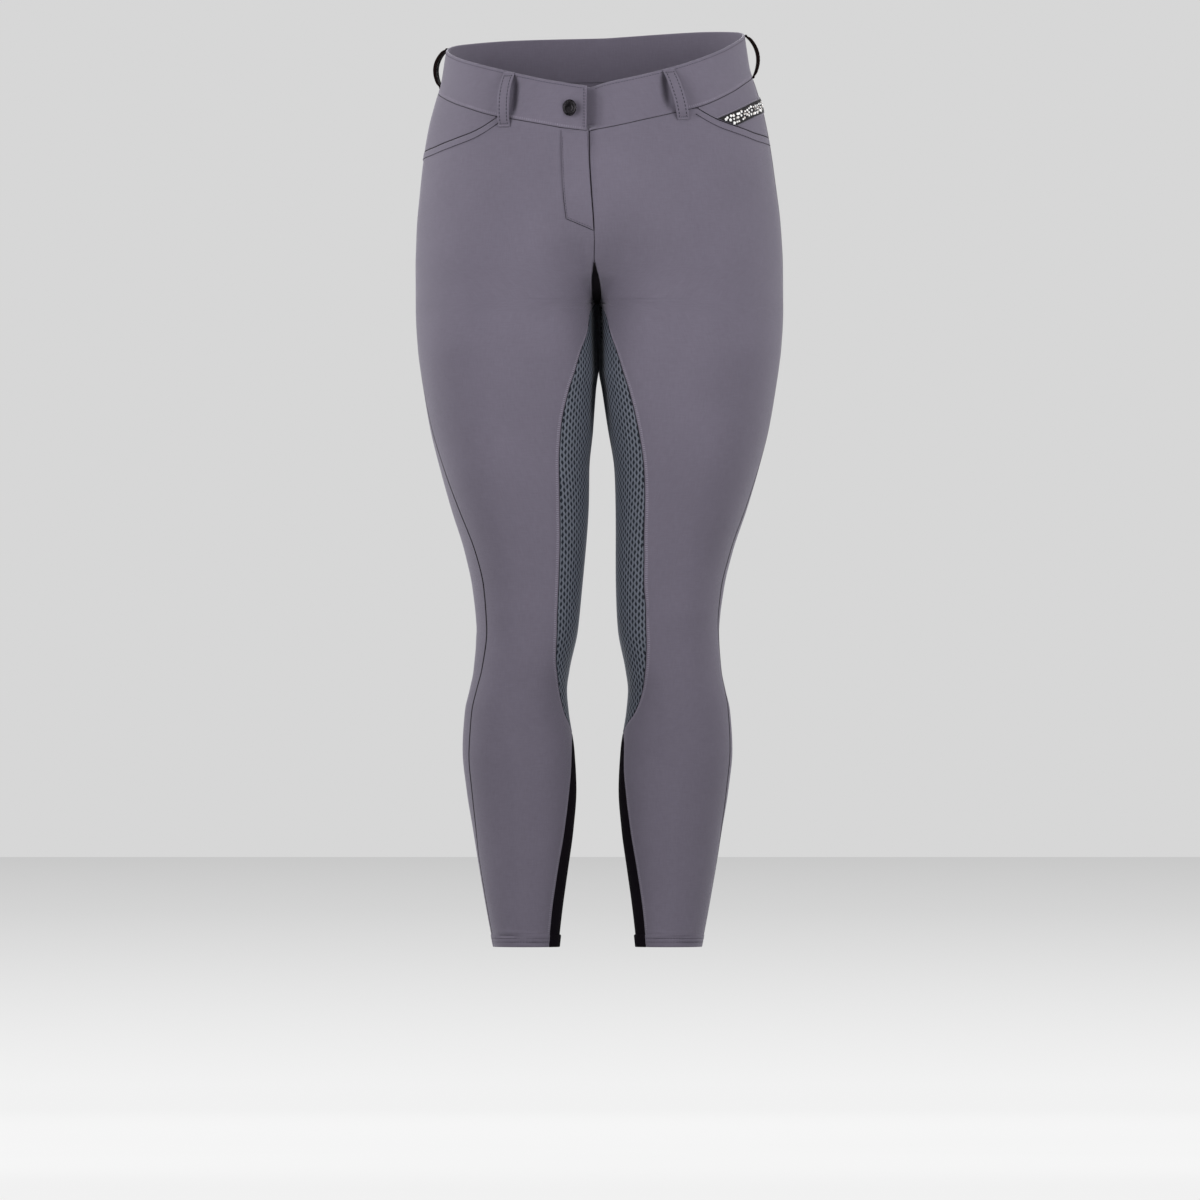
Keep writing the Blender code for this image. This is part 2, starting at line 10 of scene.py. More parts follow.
import bpy
import numpy as np
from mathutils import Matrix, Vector


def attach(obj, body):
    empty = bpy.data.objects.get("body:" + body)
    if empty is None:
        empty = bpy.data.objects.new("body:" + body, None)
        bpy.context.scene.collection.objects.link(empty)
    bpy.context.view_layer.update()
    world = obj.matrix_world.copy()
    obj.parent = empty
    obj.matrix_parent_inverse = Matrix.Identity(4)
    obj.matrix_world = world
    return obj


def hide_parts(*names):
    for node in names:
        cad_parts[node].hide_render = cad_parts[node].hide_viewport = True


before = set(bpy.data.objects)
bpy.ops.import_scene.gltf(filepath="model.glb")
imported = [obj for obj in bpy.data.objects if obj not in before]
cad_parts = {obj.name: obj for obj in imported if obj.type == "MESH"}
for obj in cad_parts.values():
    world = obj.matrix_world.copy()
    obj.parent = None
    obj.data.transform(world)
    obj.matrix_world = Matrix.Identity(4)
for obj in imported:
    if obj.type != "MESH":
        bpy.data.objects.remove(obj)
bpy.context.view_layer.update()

MM = 0.001
LEFT = 1
RIGHT = -1
SIDE = {LEFT: "left", RIGHT: "right"}

# cloth and trim thicknesses
CLOTH_WALL = 1.6
BAND_WALL = 2.4
INSERT_WALL = 1.2
LOOP_WALL = 1.8
SIDE_LOOP_WALL = 3.3
FLY_WALL = 1.2
TRIM_WALL = 1.3
TURNED_EDGE = 0.6

# gaps left in the seams, and how far into a panel the cloth is drawn back for them
SEAM_GAP = 0.3
SEWN_GAP = 0.08
SIDE_SEAM = 0.9
DARK_SEAM = 0.4
FINE_SEAM = 0.1
SEAM_REACH = 6.0

# gap under a strip that lies on the cloth, and how far the fly sinks into it
LAY_GAP = 0.4
FLY_SINK = 0.35

# heights and places that shape the garment
FORK_TOP = -80.0
CROTCH = -210.0
HIP_ROUND = -100.0
LEG_ROUND = -320.0
FORK_SPREAD = 0.058
HEM = -857.0
HEM_DEPTH = 12.0
GRIP_TOP = -70.0
GRIP_TOP_BACK = -66.0
GRIP_CORNER = 0.985
GRIP_END = -643.0
MOUTH_FROM = 0.245
MOUTH_BAND = 8.0
BELOW_MOUTH = 9.2
FRONT_YOKE = -88.0
FACING_START = 0.2615

# how the wearer stood
HIP_TURN_DEGREES = -4.4
HIP_TIP = 0.045
HIP_SHIFT = -2.5
HIP_SPAN = (-240.0, -30.0)
CALF_DRIFT = -2.0
CALF_SPAN = (-600.0, -350.0)
KNEE_LEAN = 3.3
KNEE_HEIGHT = -415.0
FRONT_SLIDE = 0.017
CONTACT_WAVE = 1.9
CONTACT_LENGTH = 40.0
CONTACT_FOOT = (-292.0, -268.0)
CONTACT_HEAD = (-208.0, -190.0)
CONTACT_FRONT = (-8.0, 8.0)
CONTACT_BACK = (42.0, 56.0)
SEAT_CLEFT = 5.0
SEAT_HEIGHT = -165.0

# millimetres for one unit of run along the waistband, and for one unit of place round the front
BAND_LENGTH = 430.0
FRONT_LENGTH = 560.0

# waistband, button, loops, trim and fly
BAND_HEIGHT = 46.0
OVERLAP_END = 0.006
UNDERLAP_LENGTH = 0.085
BAND_HOLLOWS = ((0.2245, 5.0), (1.8010, 5.0))
BUTTON_PLACE = 0.049
BUTTON_HEIGHT = -18.3
BUTTON_TILT = (-0.62, 0.0, -0.12)
BUTTON_SHANK = 2.0
BUTTON_RADIUS = 8.3
BUTTON_STEPS = 72
FRONT_LOOP_WIDTH = 12.2
SIDE_LOOP_WIDTH = 13.0
FRONT_LOOP_BOW = 8.6
SIDE_LOOP_BOW = 8.2
CRYSTAL_BAND_DROP = 17.5
CRYSTAL_BAND_WIDTH = 13.5
CRYSTAL_BAND_SAG = 3.4
STONE_RADIUS = 1.15
STONE_SPREAD = 0.6
STONE_SIDES = 8
STONE_RINGS = ((1.0, 0.0, 0.0), (1.0, 0.35, 0.0), (0.80, 0.80, 0.5), (0.46, 1.10, 0.0))
FLY_TOP = -43.5
FLY_CORNER = -129.0
FLY_TIP = -141.0

# finish of edges, stitches and seam tapes; the dark tapes and strips also paint the shade of the seams, the
# fly's edges and the fork
SEAM_ROLL = 0.9
EDGE_STEPS = (0.0, 0.1, 0.3, 0.6, 0.9, 1.6, 2.8)
WORN_STRETCH = 1.06
STITCH_LENGTH = 2.3
STITCH_PITCH = 2.9
TAPE_WIDTH = 1.5
TAPE_WALL = 0.5
TAPE_DEPTH = 0.16
INNER_FRONT_DEPTH = 0.45
INNER_BACK_DEPTH = 0.3
FLY_SHADOW_DEPTH = -0.12
MOUTH_SHADOW_DEPTH = -0.15
WAIST_TAPE_HALF = 0.27
FORK_SHADOW_TOP = -173.5
FORK_SHADOW_FOOT = -214.0
# the side tapes stand a little above the cloth as a painted shadow line along the side seam
SIDE_TAPE = {LEFT: (-0.12, 2.3), RIGHT: (-0.05, 1.9)}

# the grip's net: how its strands stand and sway, and the section of one strand
STRAND_NUMBERS = (-58, 45)
STRAND_PITCH = 3.7
STRAND_WIDTH = 2.35
STRAND_SWAY = 0.74
STRAND_PERIOD = 6.9
STRAND_STEPS = 6.0
STRAND_HEIGHT = 0.15
STRAND_SAMPLES = 241
STRAND_SECTION = (-0.5, -0.30, 0.0, 0.30, 0.5)
STRAND_RISE = (-0.15, 0.80, 1.0, 0.80, -0.15)
NET_MARGIN = 0.6
NET_LENGTH_ROUND = 400.0
GRIP_BASE_DROP = 0.06

# heights and shares of the panels' grids, close together where the form turns
TOP_ROWS = [-72.4, -73.5, -75.0, -77.0, -79.5, -82.5, -86.0, -90.0]
CROTCH_ROWS = [-203.5, -205.5, -207.0, -208.2, -209.0, -209.6, -210.0]
FORK_ROWS = [-211.0, -212.5, -214.5, -217.0, -219.5, -222.0]
TO_HEM = ((-835.0, 4.7), (HEM + 13.6, 1.4))
HEM_ROWS = [HEM + d for d in (12.9, 12.1, 11.4, 9.5, 7.5, 5.5, 3.6, 2.2, 1.4, 0.9, 0.5, 0.2, 0.0)]
NEAR_CENTRE = (0.0, 0.002, 0.004, 0.006, 0.008, 0.010, 0.012, 0.0145, 0.0175, 0.021, 0.026, 0.033, 0.043)

# sections of the worn garment, from the top of the waistband to the hem
BODY = (
    ("height", "half_width", "inner", "front", "back", "square", "inner_square"),
    (60.0, 145.5, 0.45, 97.0, 110.0, 2.2, 2.2),
    (36.0, 149.0, 0.45, 99.0, 113.0, 2.2, 2.2),
    (12.0, 153.0, 0.45, 101.0, 116.0, 2.2, 2.2),
    (-6.0, 159.0, 0.45, 103.0, 118.0, 2.2, 2.2),
    (-30.0, 166.0, 0.45, 106.0, 121.0, 2.25, 2.25),
    (-60.0, 172.0, 0.45, 110.0, 125.0, 2.3, 2.3),
    (-100.0, 177.5, 0.45, 113.0, 131.0, 2.35, 2.35),
    (-140.0, 182.0, 0.45, 113.0, 135.0, 2.4, 2.5),
    (-180.0, 183.7, 0.45, 110.0, 136.0, 2.45, 2.8),
    (-220.0, 183.7, 0.45, 107.0, 130.0, 2.55, 3.2),
    (-260.0, 181.5, 0.45, 104.0, 112.0, 2.6, 3.4),
    (-280.0, 179.0, 0.45, 102.5, 103.0, 2.5, 3.45),
    (-300.0, 176.0, 3.0, 101.0, 95.0, 2.35, 3.45),
    (-340.0, 169.0, 7.5, 97.0, 84.0, 2.2, 3.4),
    (-380.0, 159.0, 12.5, 92.0, 76.0, 2.15, 3.35),
    (-420.0, 147.5, 13.5, 85.0, 69.0, 2.1, 3.3),
    (-460.0, 134.5, 15.0, 78.0, 62.0, 2.1, 3.2),
    (-500.0, 125.5, 17.0, 71.0, 56.0, 2.1, 3.1),
    (-540.0, 121.5, 20.0, 65.0, 54.0, 2.1, 2.9),
    (-580.0, 124.0, 28.0, 59.0, 56.0, 2.1, 2.6),
    (-600.0, 128.0, 30.5, 55.0, 60.0, 2.1, 2.4),
    (-620.0, 132.5, 29.0, 51.0, 66.0, 2.1, 2.2),
    (-660.0, 135.0, 23.0, 44.0, 74.0, 2.1, 2.1),
    (-700.0, 131.0, 21.0, 38.0, 76.0, 2.1, 2.1),
    (-740.0, 124.5, 24.0, 34.0, 71.0, 2.1, 2.1),
    (-780.0, 118.0, 29.5, 31.0, 63.0, 2.1, 2.1),
    (-820.0, 111.0, 35.0, 29.0, 56.0, 2.1, 2.1),
    (-860.0, 103.5, 39.5, 28.0, 54.0, 2.1, 2.1),
)

# seam under the waistband and the band's top edge, by place round the waist
WAIST = (
    ("place", "seam", "top"),
    (0.0, -42.0, 2.5),
    (0.067, -38.5, 7.0),
    (0.135, -33.5, 11.5),
    (0.21, -27.5, 18.0),
    (0.267, -22.5, 24.0),
    (0.35, -10.8, 33.5),
    (0.43, 0.0, 42.5),
    (0.5, 5.0, 48.0),
    (0.6, 9.0, 52.5),
    (0.75, 11.0, 55.0),
    (1.0, 9.0, 53.5),
)

# curved edge of the front pocket, from the waist seam to the side seam
POCKET_MOUTH = (
    ("place", "edge"),
    (0.23, -15.0),
    (0.258, -24.5),
    (0.302, -36.5),
    (0.342, -43.0),
    (0.371, -47.0),
    (0.408, -51.5),
    (0.45, -54.0),
    (0.5, -56.0),
)

# lengthwise seams by height: the outer side seam, and the seams behind and before the grip and insert
SEAMS = (
    ("height", "side_left", "side_right", "inner_back", "inner_front_left", "inner_front_right"),
    (20.0, 0.5, 0.5, 0.985, 0.0, 0.0),
    (-70.0, 0.5, 0.5, 0.985, 0.0, 0.0),
    (-74.0, 0.5, 0.5, 0.93, 0.0, 0.0),
    (-80.0, 0.5, 0.5, 0.885, 0.0, 0.0),
    (-90.0, 0.5, 0.5, 0.84, 0.0, 0.0),
    (-100.0, 0.5, 0.5, 0.8, 0.0, 0.0),
    (-120.0, 0.5, 0.5, 0.755, 0.0, 0.0),
    (-140.0, 0.5, 0.5, 0.725, 0.0, 0.0),
    (-170.0, 0.5, 0.5, 0.705, 0.0, 0.0),
    (-210.0, 0.5, 0.5, 0.7, 0.0, 0.0),
    (-216.0, 0.5, 0.5, 0.7, 0.032, 0.032),
    (-222.0, 0.5, 0.5, 0.702, 0.056, 0.056),
    (-240.0, 0.5, 0.5, 0.706, 0.089, 0.084),
    (-260.0, 0.5, 0.495, 0.712, 0.125, 0.1245),
    (-280.0, 0.5, 0.486, 0.716, 0.144, 0.1445),
    (-300.0, 0.5, 0.475, 0.72, 0.154, 0.156),
    (-340.0, 0.49, 0.455, 0.727, 0.165, 0.1665),
    (-400.0, 0.463, 0.422, 0.735, 0.175, 0.169),
    (-440.0, 0.446, 0.398, 0.74, 0.179, 0.171),
    (-470.0, 0.44, 0.384, 0.742, 0.184, 0.1725),
    (-495.0, 0.435, 0.379, 0.742, 0.186, 0.173),
    (-520.0, 0.44, 0.379, 0.742, 0.191, 0.173),
    (-545.0, 0.461, 0.379, 0.745, 0.189, 0.168),
    (-570.0, 0.478, 0.384, 0.755, 0.177, 0.155),
    (-600.0, 0.465, 0.397, 0.785, 0.147, 0.116),
    (-625.0, 0.446, 0.405, 0.825, 0.101, 0.075),
    (-643.0, 0.446, 0.409, 0.86, 0.031, 0.021),
    (-652.0, 0.446, 0.412, 0.86, 0.056, 0.045),
    (-678.0, 0.447, 0.42, 0.85, 0.069, 0.069),
    (-705.0, 0.452, 0.424, 0.845, 0.089, 0.089),
    (-740.0, 0.468, 0.438, 0.84, 0.101, 0.101),
    (-770.0, 0.492, 0.454, 0.835, 0.112, 0.112),
    (-805.0, 0.5, 0.455, 0.83, 0.124, 0.124),
    (-857.0, 0.5, 0.447, 0.825, 0.145, 0.145),
)

# edges of the fly, by height
FLY = (
    ("height", "inner_edge", "outer_edge"),
    (-40.0, 0.0045, 0.0785),
    (-80.0, 0.0025, 0.0755),
    (-129.0, 0.0015, 0.0725),
    (-145.0, 0.0015, 0.0715),
)

# soft creases of the worn cloth: depth is negative for a trough, slope is its climb in degrees
CREASES = (
    ("leg", "height", "place", "half_length", "half_width", "depth", "slope", "bow"),
    (LEFT, -84.0, 0.003, 42.0, 4.0, -1.6, 90.0, 0.0),
    (LEFT, -50.0, 0.004, 13.0, 4.5, -2.6, 90.0, 0.0),
    (RIGHT, -62.0, 0.0805, 24.0, 1.9, -1.3, 90.0, 0.0),
    (RIGHT, -95.0, 0.077, 30.0, 1.6, -0.8, 90.0, 0.0),
    (LEFT, -735.0, 0.262, 95.0, 9.0, 1.6, 90.0, 0.0),
    (RIGHT, -735.0, 0.262, 95.0, 9.0, 1.6, 90.0, 0.0),
    (LEFT, -846.5, 0.3, 20.0, 1.2, -1.3, 2.0, 0.0),
    (LEFT, -843.0, 0.23, 20.0, 1.8, 0.5, -3.0, 0.0),
    (LEFT, -852.8, 0.33, 22.0, 1.4, -0.6, -2.0, 0.0),
    (RIGHT, -846.0, 0.33, 16.0, 1.2, -1.9, 1.0, 0.0),
    (RIGHT, -842.5, 0.27, 22.0, 1.8, 0.55, 2.0, 0.0),
    (RIGHT, -852.5, 0.23, 20.0, 1.4, -0.6, 3.0, 0.0),
    (LEFT, -534.0, 0.62, 30.0, 6.0, -1.3, 8.0, 0.004),
    (LEFT, -553.0, 0.64, 34.0, 5.0, -1.6, -4.0, -0.003),
    (LEFT, -571.0, 0.615, 26.0, 6.0, -1.1, -9.0, -0.004),
    (LEFT, -543.0, 0.63, 30.0, 5.0, 0.9, 2.0, 0.002),
    (RIGHT, -531.0, 0.605, 32.0, 6.0, -1.2, 5.0, 0.004),
    (RIGHT, -549.0, 0.63, 30.0, 5.0, -1.7, -7.0, -0.002),
    (RIGHT, -568.0, 0.6, 28.0, 6.0, -1.0, -6.0, -0.004),
    (RIGHT, -540.0, 0.62, 28.0, 5.0, 0.8, -1.0, 0.002),
    (LEFT, -252.0, 0.64, 42.0, 8.0, -1.2, 14.0, 0.003),
    (LEFT, -272.0, 0.65, 34.0, 7.0, -0.8, 10.0, 0.003),
    (RIGHT, -249.0, 0.64, 40.0, 8.0, -1.3, 12.0, 0.003),
    (RIGHT, -270.0, 0.655, 36.0, 7.0, -0.7, 15.0, 0.003),
    (LEFT, -222.0, 0.13, 34.0, 9.0, -0.6, 24.0, 0.0),
    (RIGHT, -225.0, 0.126, 36.0, 9.0, -0.6, 22.0, 0.0),
    (LEFT, -520.0, 0.33, 36.0, 14.0, 0.7, 4.0, 0.0),
    (RIGHT, -524.0, 0.32, 34.0, 14.0, 0.7, -5.0, 0.0),
)

# groove between the thighs: its depth and width, how far it lies to one side, and the fork's rise behind it
GROOVE = (
    ("height", "depth", "half_width", "slide", "fork"),
    (-80.0, 0.0, 1.0, 0.0, 0.0),
    (-120.0, 0.0, 1.0, 0.0, 0.012),
    (-150.0, 0.0, 1.4, -1.0, 0.055),
    (-171.0, 0.0, 0.6, -2.8, 0.12),
    (-178.0, 9.0, 1.3, -3.0, 0.16),
    (-187.0, 30.0, 3.0, -3.0, 0.23),
    (-198.0, 44.0, 3.8, -2.7, 0.42),
    (-210.0, 47.0, 4.1, -2.4, 0.68),
    (-222.0, 47.0, 4.6, -2.1, 0.9),
    (-236.0, 46.0, 4.8, -1.8, 1.0),
    (-280.0, 40.0, 4.8, -1.2, 1.0),
    (-310.0, 26.0, 4.4, -0.6, 1.0),
    (-345.0, 0.0, 3.5, 0.0, 1.0),
)

# how much fuller the wearer's right hip is, by height
RIGHT_HIP = (
    ("height", "fuller"),
    (60.0, 4.2),
    (10.0, 3.8),
    (-10.0, 3.0),
    (-40.0, 2.0),
    (-70.0, 1.2),
    (-110.0, 0.6),
    (-150.0, 0.0),
)

# how far the net's strands have run towards the inseam, by height
STRAND_DRIFT = (
    ("height", "drift"),
    (-60.0, 0.0),
    (-260.0, 0.0),
    (-300.0, 2.0),
    (-340.0, 7.0),
    (-400.0, 20.0),
    (-460.0, 33.0),
    (-520.0, 44.0),
    (-580.0, 54.0),
    (-645.0, 62.0),
)


def along(table, name, at):
    """Smooth value of a named column at the given places of the table's first column."""
    at = np.asarray(at, dtype=float)
    key = np.array([row[0] for row in table[1:]], dtype=float)
    value = np.array([row[table[0].index(name)] for row in table[1:]], dtype=float)
    if key[0] > key[-1]:
        key = key[::-1]
        value = value[::-1]
    step = np.diff(key)
    slope = np.diff(value) / step
    tangent = np.zeros(len(key))
    tangent[0] = slope[0]
    tangent[-1] = slope[-1]
    same_way = slope[:-1] * slope[1:] > 0
    weight_a = 2 * step[1:] + step[:-1]
    weight_b = step[1:] + 2 * step[:-1]
    before = np.where(same_way, slope[:-1], 1.0)
    after = np.where(same_way, slope[1:], 1.0)
    inner = (weight_a + weight_b) / (weight_a / before + weight_b / after)
    tangent[1:-1] = np.where(same_way, inner, 0.0)
    place = np.clip(np.searchsorted(key, at) - 1, 0, len(key) - 2)
    h = step[place]
    t = np.clip((at - key[place]) / h, 0.0, 1.0)
    a = (1 + 2 * t) * (1 - t) ** 2 * value[place]
    b = t * (1 - t) ** 2 * h * tangent[place]
    c = t * t * (3 - 2 * t) * value[place + 1]
    d = t * t * (t - 1) * h * tangent[place + 1]
    return a + b + c + d


def ease(low, high, at):
    """0 below low, 1 above high and a smooth step between."""
    t = np.clip((at - low) / (high - low), 0.0, 1.0)
    return t * t * (3 - 2 * t)


def hump(at, width, middle=0.0):
    """1 at its middle and falling off smoothly to both sides."""
    return np.exp(-(((at - middle) / width) ** 2))


def unit(ways):
    """Directions of length one."""
    return ways / np.linalg.norm(ways, axis=-1, keepdims=True)


def oval(across, ahead, half, depth, square):
    """Distance from the middle of a squared oval to its rim in a direction."""
    return (np.abs(across / half) ** square + np.abs(ahead / depth) ** square) ** (-1 / square)


def stand(x, y, z):
    """The tipped and turned hips, the drift of the calves and the wave where the thighs touch."""
    hips = ease(*HIP_SPAN, z)
    turn = math.radians(HIP_TURN_DEGREES) * hips
    thighs = ease(*CONTACT_FOOT, z) * (1 - ease(*CONTACT_HEAD, z))
    touching = thighs * ease(*CONTACT_FRONT, y) * (1 - ease(*CONTACT_BACK, y)) * hump(x, 35.0)
    wave = CONTACT_WAVE * np.sin(2 * math.pi * (y - 4.0) / CONTACT_LENGTH) * touching
    drift = CALF_DRIFT * (1 - ease(*CALF_SPAN, z))
    lean = KNEE_LEAN * np.exp(-(((z - KNEE_HEIGHT) / 75.0) ** 2) - (x / 45.0) ** 2)
    slide = along(GROOVE, "slide", z) * hump(x, 26.0)
    slide = slide - along(RIGHT_HIP, "fuller", z) * np.clip(-x / 150.0, 0.0, 1.2) ** 2
    new_x = x * np.cos(turn) - y * np.sin(turn) + HIP_SHIFT * hips + drift + lean + wave + slide
    new_y = x * np.sin(turn) + y * np.cos(turn)
    new_z = z + HIP_TIP * x * hips
    return np.stack([new_x, new_y, new_z], axis=-1)


def skin(leg, z, u, grooved=1.0):
    """Points on the outer face of the cloth, in millimetres, with or without the groove of the thighs."""
    z, u = np.broadcast_arrays(np.asarray(z, dtype=float), np.asarray(u, dtype=float))
    half_width, inner, front, back, square, inner_square = (along(BODY, name, z) for name in BODY[0][1:])
    middle = (back - front) / 2
    depth = (back + front) / 2
    u = u + leg * FRONT_SLIDE * ease(-170.0, -60.0, z) * np.sin(2 * math.pi * np.clip(u, 0.0, 0.5)) ** 2
    around = np.where(z <= CROTCH, np.mod(u, 1.0), u)
    hip_angle = math.pi * around
    reach = oval(np.sin(hip_angle), np.cos(hip_angle), half_width, depth, square)
    hip_x = reach * np.sin(hip_angle)
    hip_y = middle - reach * np.cos(hip_angle)
    leg_angle = 2 * math.pi * u
    rounding = np.where(np.cos(leg_angle) > 0, inner_square, square)
    reach = oval(np.cos(leg_angle), np.sin(leg_angle), (half_width - inner) / 2, depth, rounding)
    leg_x = (half_width + inner) / 2 - reach * np.cos(leg_angle)
    leg_y = middle - reach * np.sin(leg_angle)
    down = np.clip((FORK_TOP - z) / (FORK_TOP - CROTCH), 0.0, 1.0)
    crotch = 1 - (1 - down ** 3) ** (1 / 3)
    thigh = 1 - ease(LEG_ROUND, HIP_ROUND, z)
    from_seam = np.minimum(np.abs(u), np.abs(1 - u))
    fork = along(GROOVE, "fork", z)
    forked = thigh + (fork - thigh) * hump(from_seam, FORK_SPREAD)
    forked = forked + (crotch - fork) * hump(from_seam, FORK_SPREAD * 0.3)
    x = hip_x + (leg_x - hip_x) * forked
    y = hip_y + (leg_y - hip_y) * forked
    in_groove = np.exp(-(((x - inner) / along(GROOVE, "half_width", z)) ** 6))
    in_groove = in_groove * np.clip((12.0 - y) / 70.0, 0.0, 1.0)
    y = y + grooved * along(GROOVE, "depth", z) * in_groove
    seat = ease(0.5, 0.8, around) * (1 - forked) * hump(z, 55.0, SEAT_HEIGHT)
    y = y - SEAT_CLEFT * seat * hump(x, 30.0)
    return stand(leg * x, y, z)


def facing(leg, z, u):
    """Unit directions out of the cloth."""
    across = skin(leg, z, np.asarray(u) + 0.002) - skin(leg, z, np.asarray(u) - 0.002)
    upward = skin(leg, np.asarray(z) + 0.4, u) - skin(leg, np.asarray(z) - 0.4, u)
    return unit(leg * np.cross(across, upward))


def reach_round(leg, z, u, step):
    """Millimetres round the leg for one unit of place."""
    return np.linalg.norm(skin(leg, z, u + step) - skin(leg, z, u - step), axis=-1) / (2 * step)


def seam(leg, name, z):
    """Place of a lengthwise seam at the given heights."""
    return along(SEAMS, name if name == "inner_back" else name + "_" + SIDE[leg], z)


def creased(leg, z, u):
    """Height of the soft creases over the plain form, in millimetres."""
    relief = np.zeros(np.broadcast(z, u).shape)
    for of_leg, height, place, half_length, half_width, depth, slope, bow in CREASES[1:]:
        if of_leg != leg:
            continue
        turns = np.asarray(u) - place
        turns = np.where(z <= CROTCH, np.mod(turns + 0.5, 1.0) - 0.5, turns)
        side = turns * reach_round(leg, height, place, 0.01)
        up = np.asarray(z) - height
        tilt = math.radians(slope)
        run = side * math.cos(tilt) + up * math.sin(tilt)
        off = up * math.cos(tilt) - side * math.sin(tilt) + bow * run * run
        relief += depth * np.exp(-((off / half_width) ** 2) - (run / half_length) ** 2)
    return relief


def steps_along(points, axis):
    """Running length along one axis of a grid of points."""
    step = np.linalg.norm(np.diff(points, axis=axis), axis=-1)
    start = np.zeros_like(np.take(step, [0], axis=axis))
    return np.cumsum(np.concatenate([start, step], axis=axis), axis=axis)


def inset(points, out, gaps):
    """Moves the borders of a grid inward by half a gap: first row, last row, first column, last column."""
    moved = points.copy()
    for (axis, index), gap in zip(((0, 0), (0, -1), (1, 0), (1, -1)), gaps):
        border = np.take(points, index, axis=axis)
        beside = np.take(points, 1 if index == 0 else -2, axis=axis)
        inward = unit(np.cross(np.take(out, index, axis=axis), np.gradient(border, axis=0)))
        sign = 1.0 if np.sum(inward * (beside - border)) > 0 else -1.0
        shift = inward * sign * np.broadcast_to(gap, len(border))[:, None] / 2
        away = steps_along(points, axis)
        if index == -1:
            away = np.take(away, [-1], axis=axis) - away
        share = np.clip(1 - away / SEAM_REACH, 0.0, 1.0)
        moved = moved + np.expand_dims(shift, axis) * share[..., None]
    return moved


def rolled(distance, radius):
    """How far a rounded edge has sunk at a distance from its border."""
    left = np.clip(radius - distance, 0.0, radius)
    return radius - np.sqrt(np.maximum(radius * radius - left * left, 0.0))


def edge_drop(points, radius, borders="first_row last_row first_column last_column"):
    """Drop of the rolled edges over a grid of points."""
    down = steps_along(points, 0)
    over = steps_along(points, 1)
    distances = {"first_row": down, "last_row": down[-1:] - down,
                 "first_column": over, "last_column": over[:, -1:] - over}
    drop = np.zeros(points.shape[:2])
    for border in borders.split():
        drop = np.maximum(drop, rolled(distances[border], radius))
    return drop


def add_mesh(name, points, faces, material, uv=None, smooth=True):
    """Piece from points in millimetres, riding on the one body."""
    mesh = bpy.data.meshes.new(name)
    mesh.from_pydata((np.asarray(points) * MM).tolist(), [], [tuple(face) for face in faces])
    mesh.materials.append(bpy.data.materials[material])
    mesh.polygons.foreach_set("use_smooth", [smooth] * len(mesh.polygons))
    if uv is not None:
        layer = mesh.uv_layers.new(name="cloth")
        corner = np.zeros(len(mesh.loops), dtype=np.int32)
        mesh.loops.foreach_get("vertex_index", corner)
        layer.data.foreach_set("uv", (np.asarray(uv)[corner] * MM).ravel())
    if smooth:
        mesh.set_sharp_from_angle(angle=math.radians(55.0))
    mesh.update()
    piece = bpy.data.objects.new(name, mesh)
    bpy.context.scene.collection.objects.link(piece)
    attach(piece, "root")
    return piece


def add_wall(name, outer, inner, material="breeches_cloth", slot="stretch_cloth"):
    """Closed wall of cloth between an outer and an inner grid of points."""
    rows, columns = outer.shape[:2]
    points = np.concatenate([outer.reshape(-1, 3), inner.reshape(-1, 3)])
    count = rows * columns
    edge_a = outer[1:, :-1] - outer[:-1, :-1]
    edge_b = outer[:-1, 1:] - outer[:-1, :-1]
    flip = np.sum(np.cross(edge_a, edge_b) * (outer - inner)[:-1, :-1]) < 0
    grid = np.arange(count).reshape(rows, columns)
    corners = [grid[:-1, :-1], grid[1:, :-1], grid[1:, 1:], grid[:-1, 1:]]
    front = np.stack([c.ravel() for c in corners], axis=1)
    back = front[:, ::-1] + count
    ring = np.concatenate([grid[0, :-1], grid[:-1, -1], grid[-1, :0:-1], grid[:0:-1, 0]])
    following = np.roll(ring, -1)
    rim = np.stack([ring, following, following + count, ring + count], axis=1)
    faces = np.concatenate([front, back, rim])
    if flip:
        faces = faces[:, ::-1]
    over = steps_along(outer, 1)
    place = np.stack([over - over[:, -1:] / 2, -outer[..., 2]], axis=-1).reshape(-1, 2)
    return add_mesh(name, points, faces.tolist(), material, uv=np.concatenate([place, place]))


CUTS = {}


def declare_cloth(piece, node, outer, with_pieces=()):
    """Hides the solid that a cloth piece stands in for and states its flat cut, before it was stretched."""
    a = outer[1:, 1:] - outer[:-1, :-1]
    b = outer[1:, :-1] - outer[:-1, 1:]
    area = np.linalg.norm(np.cross(a, b), axis=-1).sum() / 2
    width = round(steps_along(outer, 1)[:, -1].max() / WORN_STRETCH * MM, 4)
    length = round(steps_along(outer, 0)[-1].max() * MM, 4)
    area = min(round(area / WORN_STRETCH * MM * MM, 6), width * length)
    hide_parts(node)
    CUTS[node] = (width, length, area)


def spaced_rows(*marks):
    """Heights from one mark to the next: each later mark is (height, step)."""
    heights = [marks[0]]
    for low, step in marks[1:]:
        count = max(1, int(round(abs(heights[-1] - low) / step)))
        heights += list(np.linspace(heights[-1], low, count + 1)[1:])
    return heights


def leg_heights(top, bottom):
    """Heights of the rows down a leg."""
    rows = spaced_rows(top, (-160.0, 4.6), (-200.0, 2.3)) + CROTCH_ROWS + FORK_ROWS
    rows += spaced_rows(-222.0, (-640.0, 4.7))[1:]
    if bottom < GRIP_END:
        return rows + spaced_rows(-640.0, *TO_HEM)[1:] + HEM_ROWS
    return rows + [GRIP_END + d for d in (1.8, 0.9, 0.5, 0.2, 0.0)]


def level_rows(leg, heights, first, last):
    """Rows at one height each, from one lengthwise seam on to another."""
    rows = []
    for height in heights:
        rows.append((lambda u, z=height: np.full_like(u, z), seam(leg, first, height),
                     seam(leg, last, height) + (last == "inner_front")))
    return rows


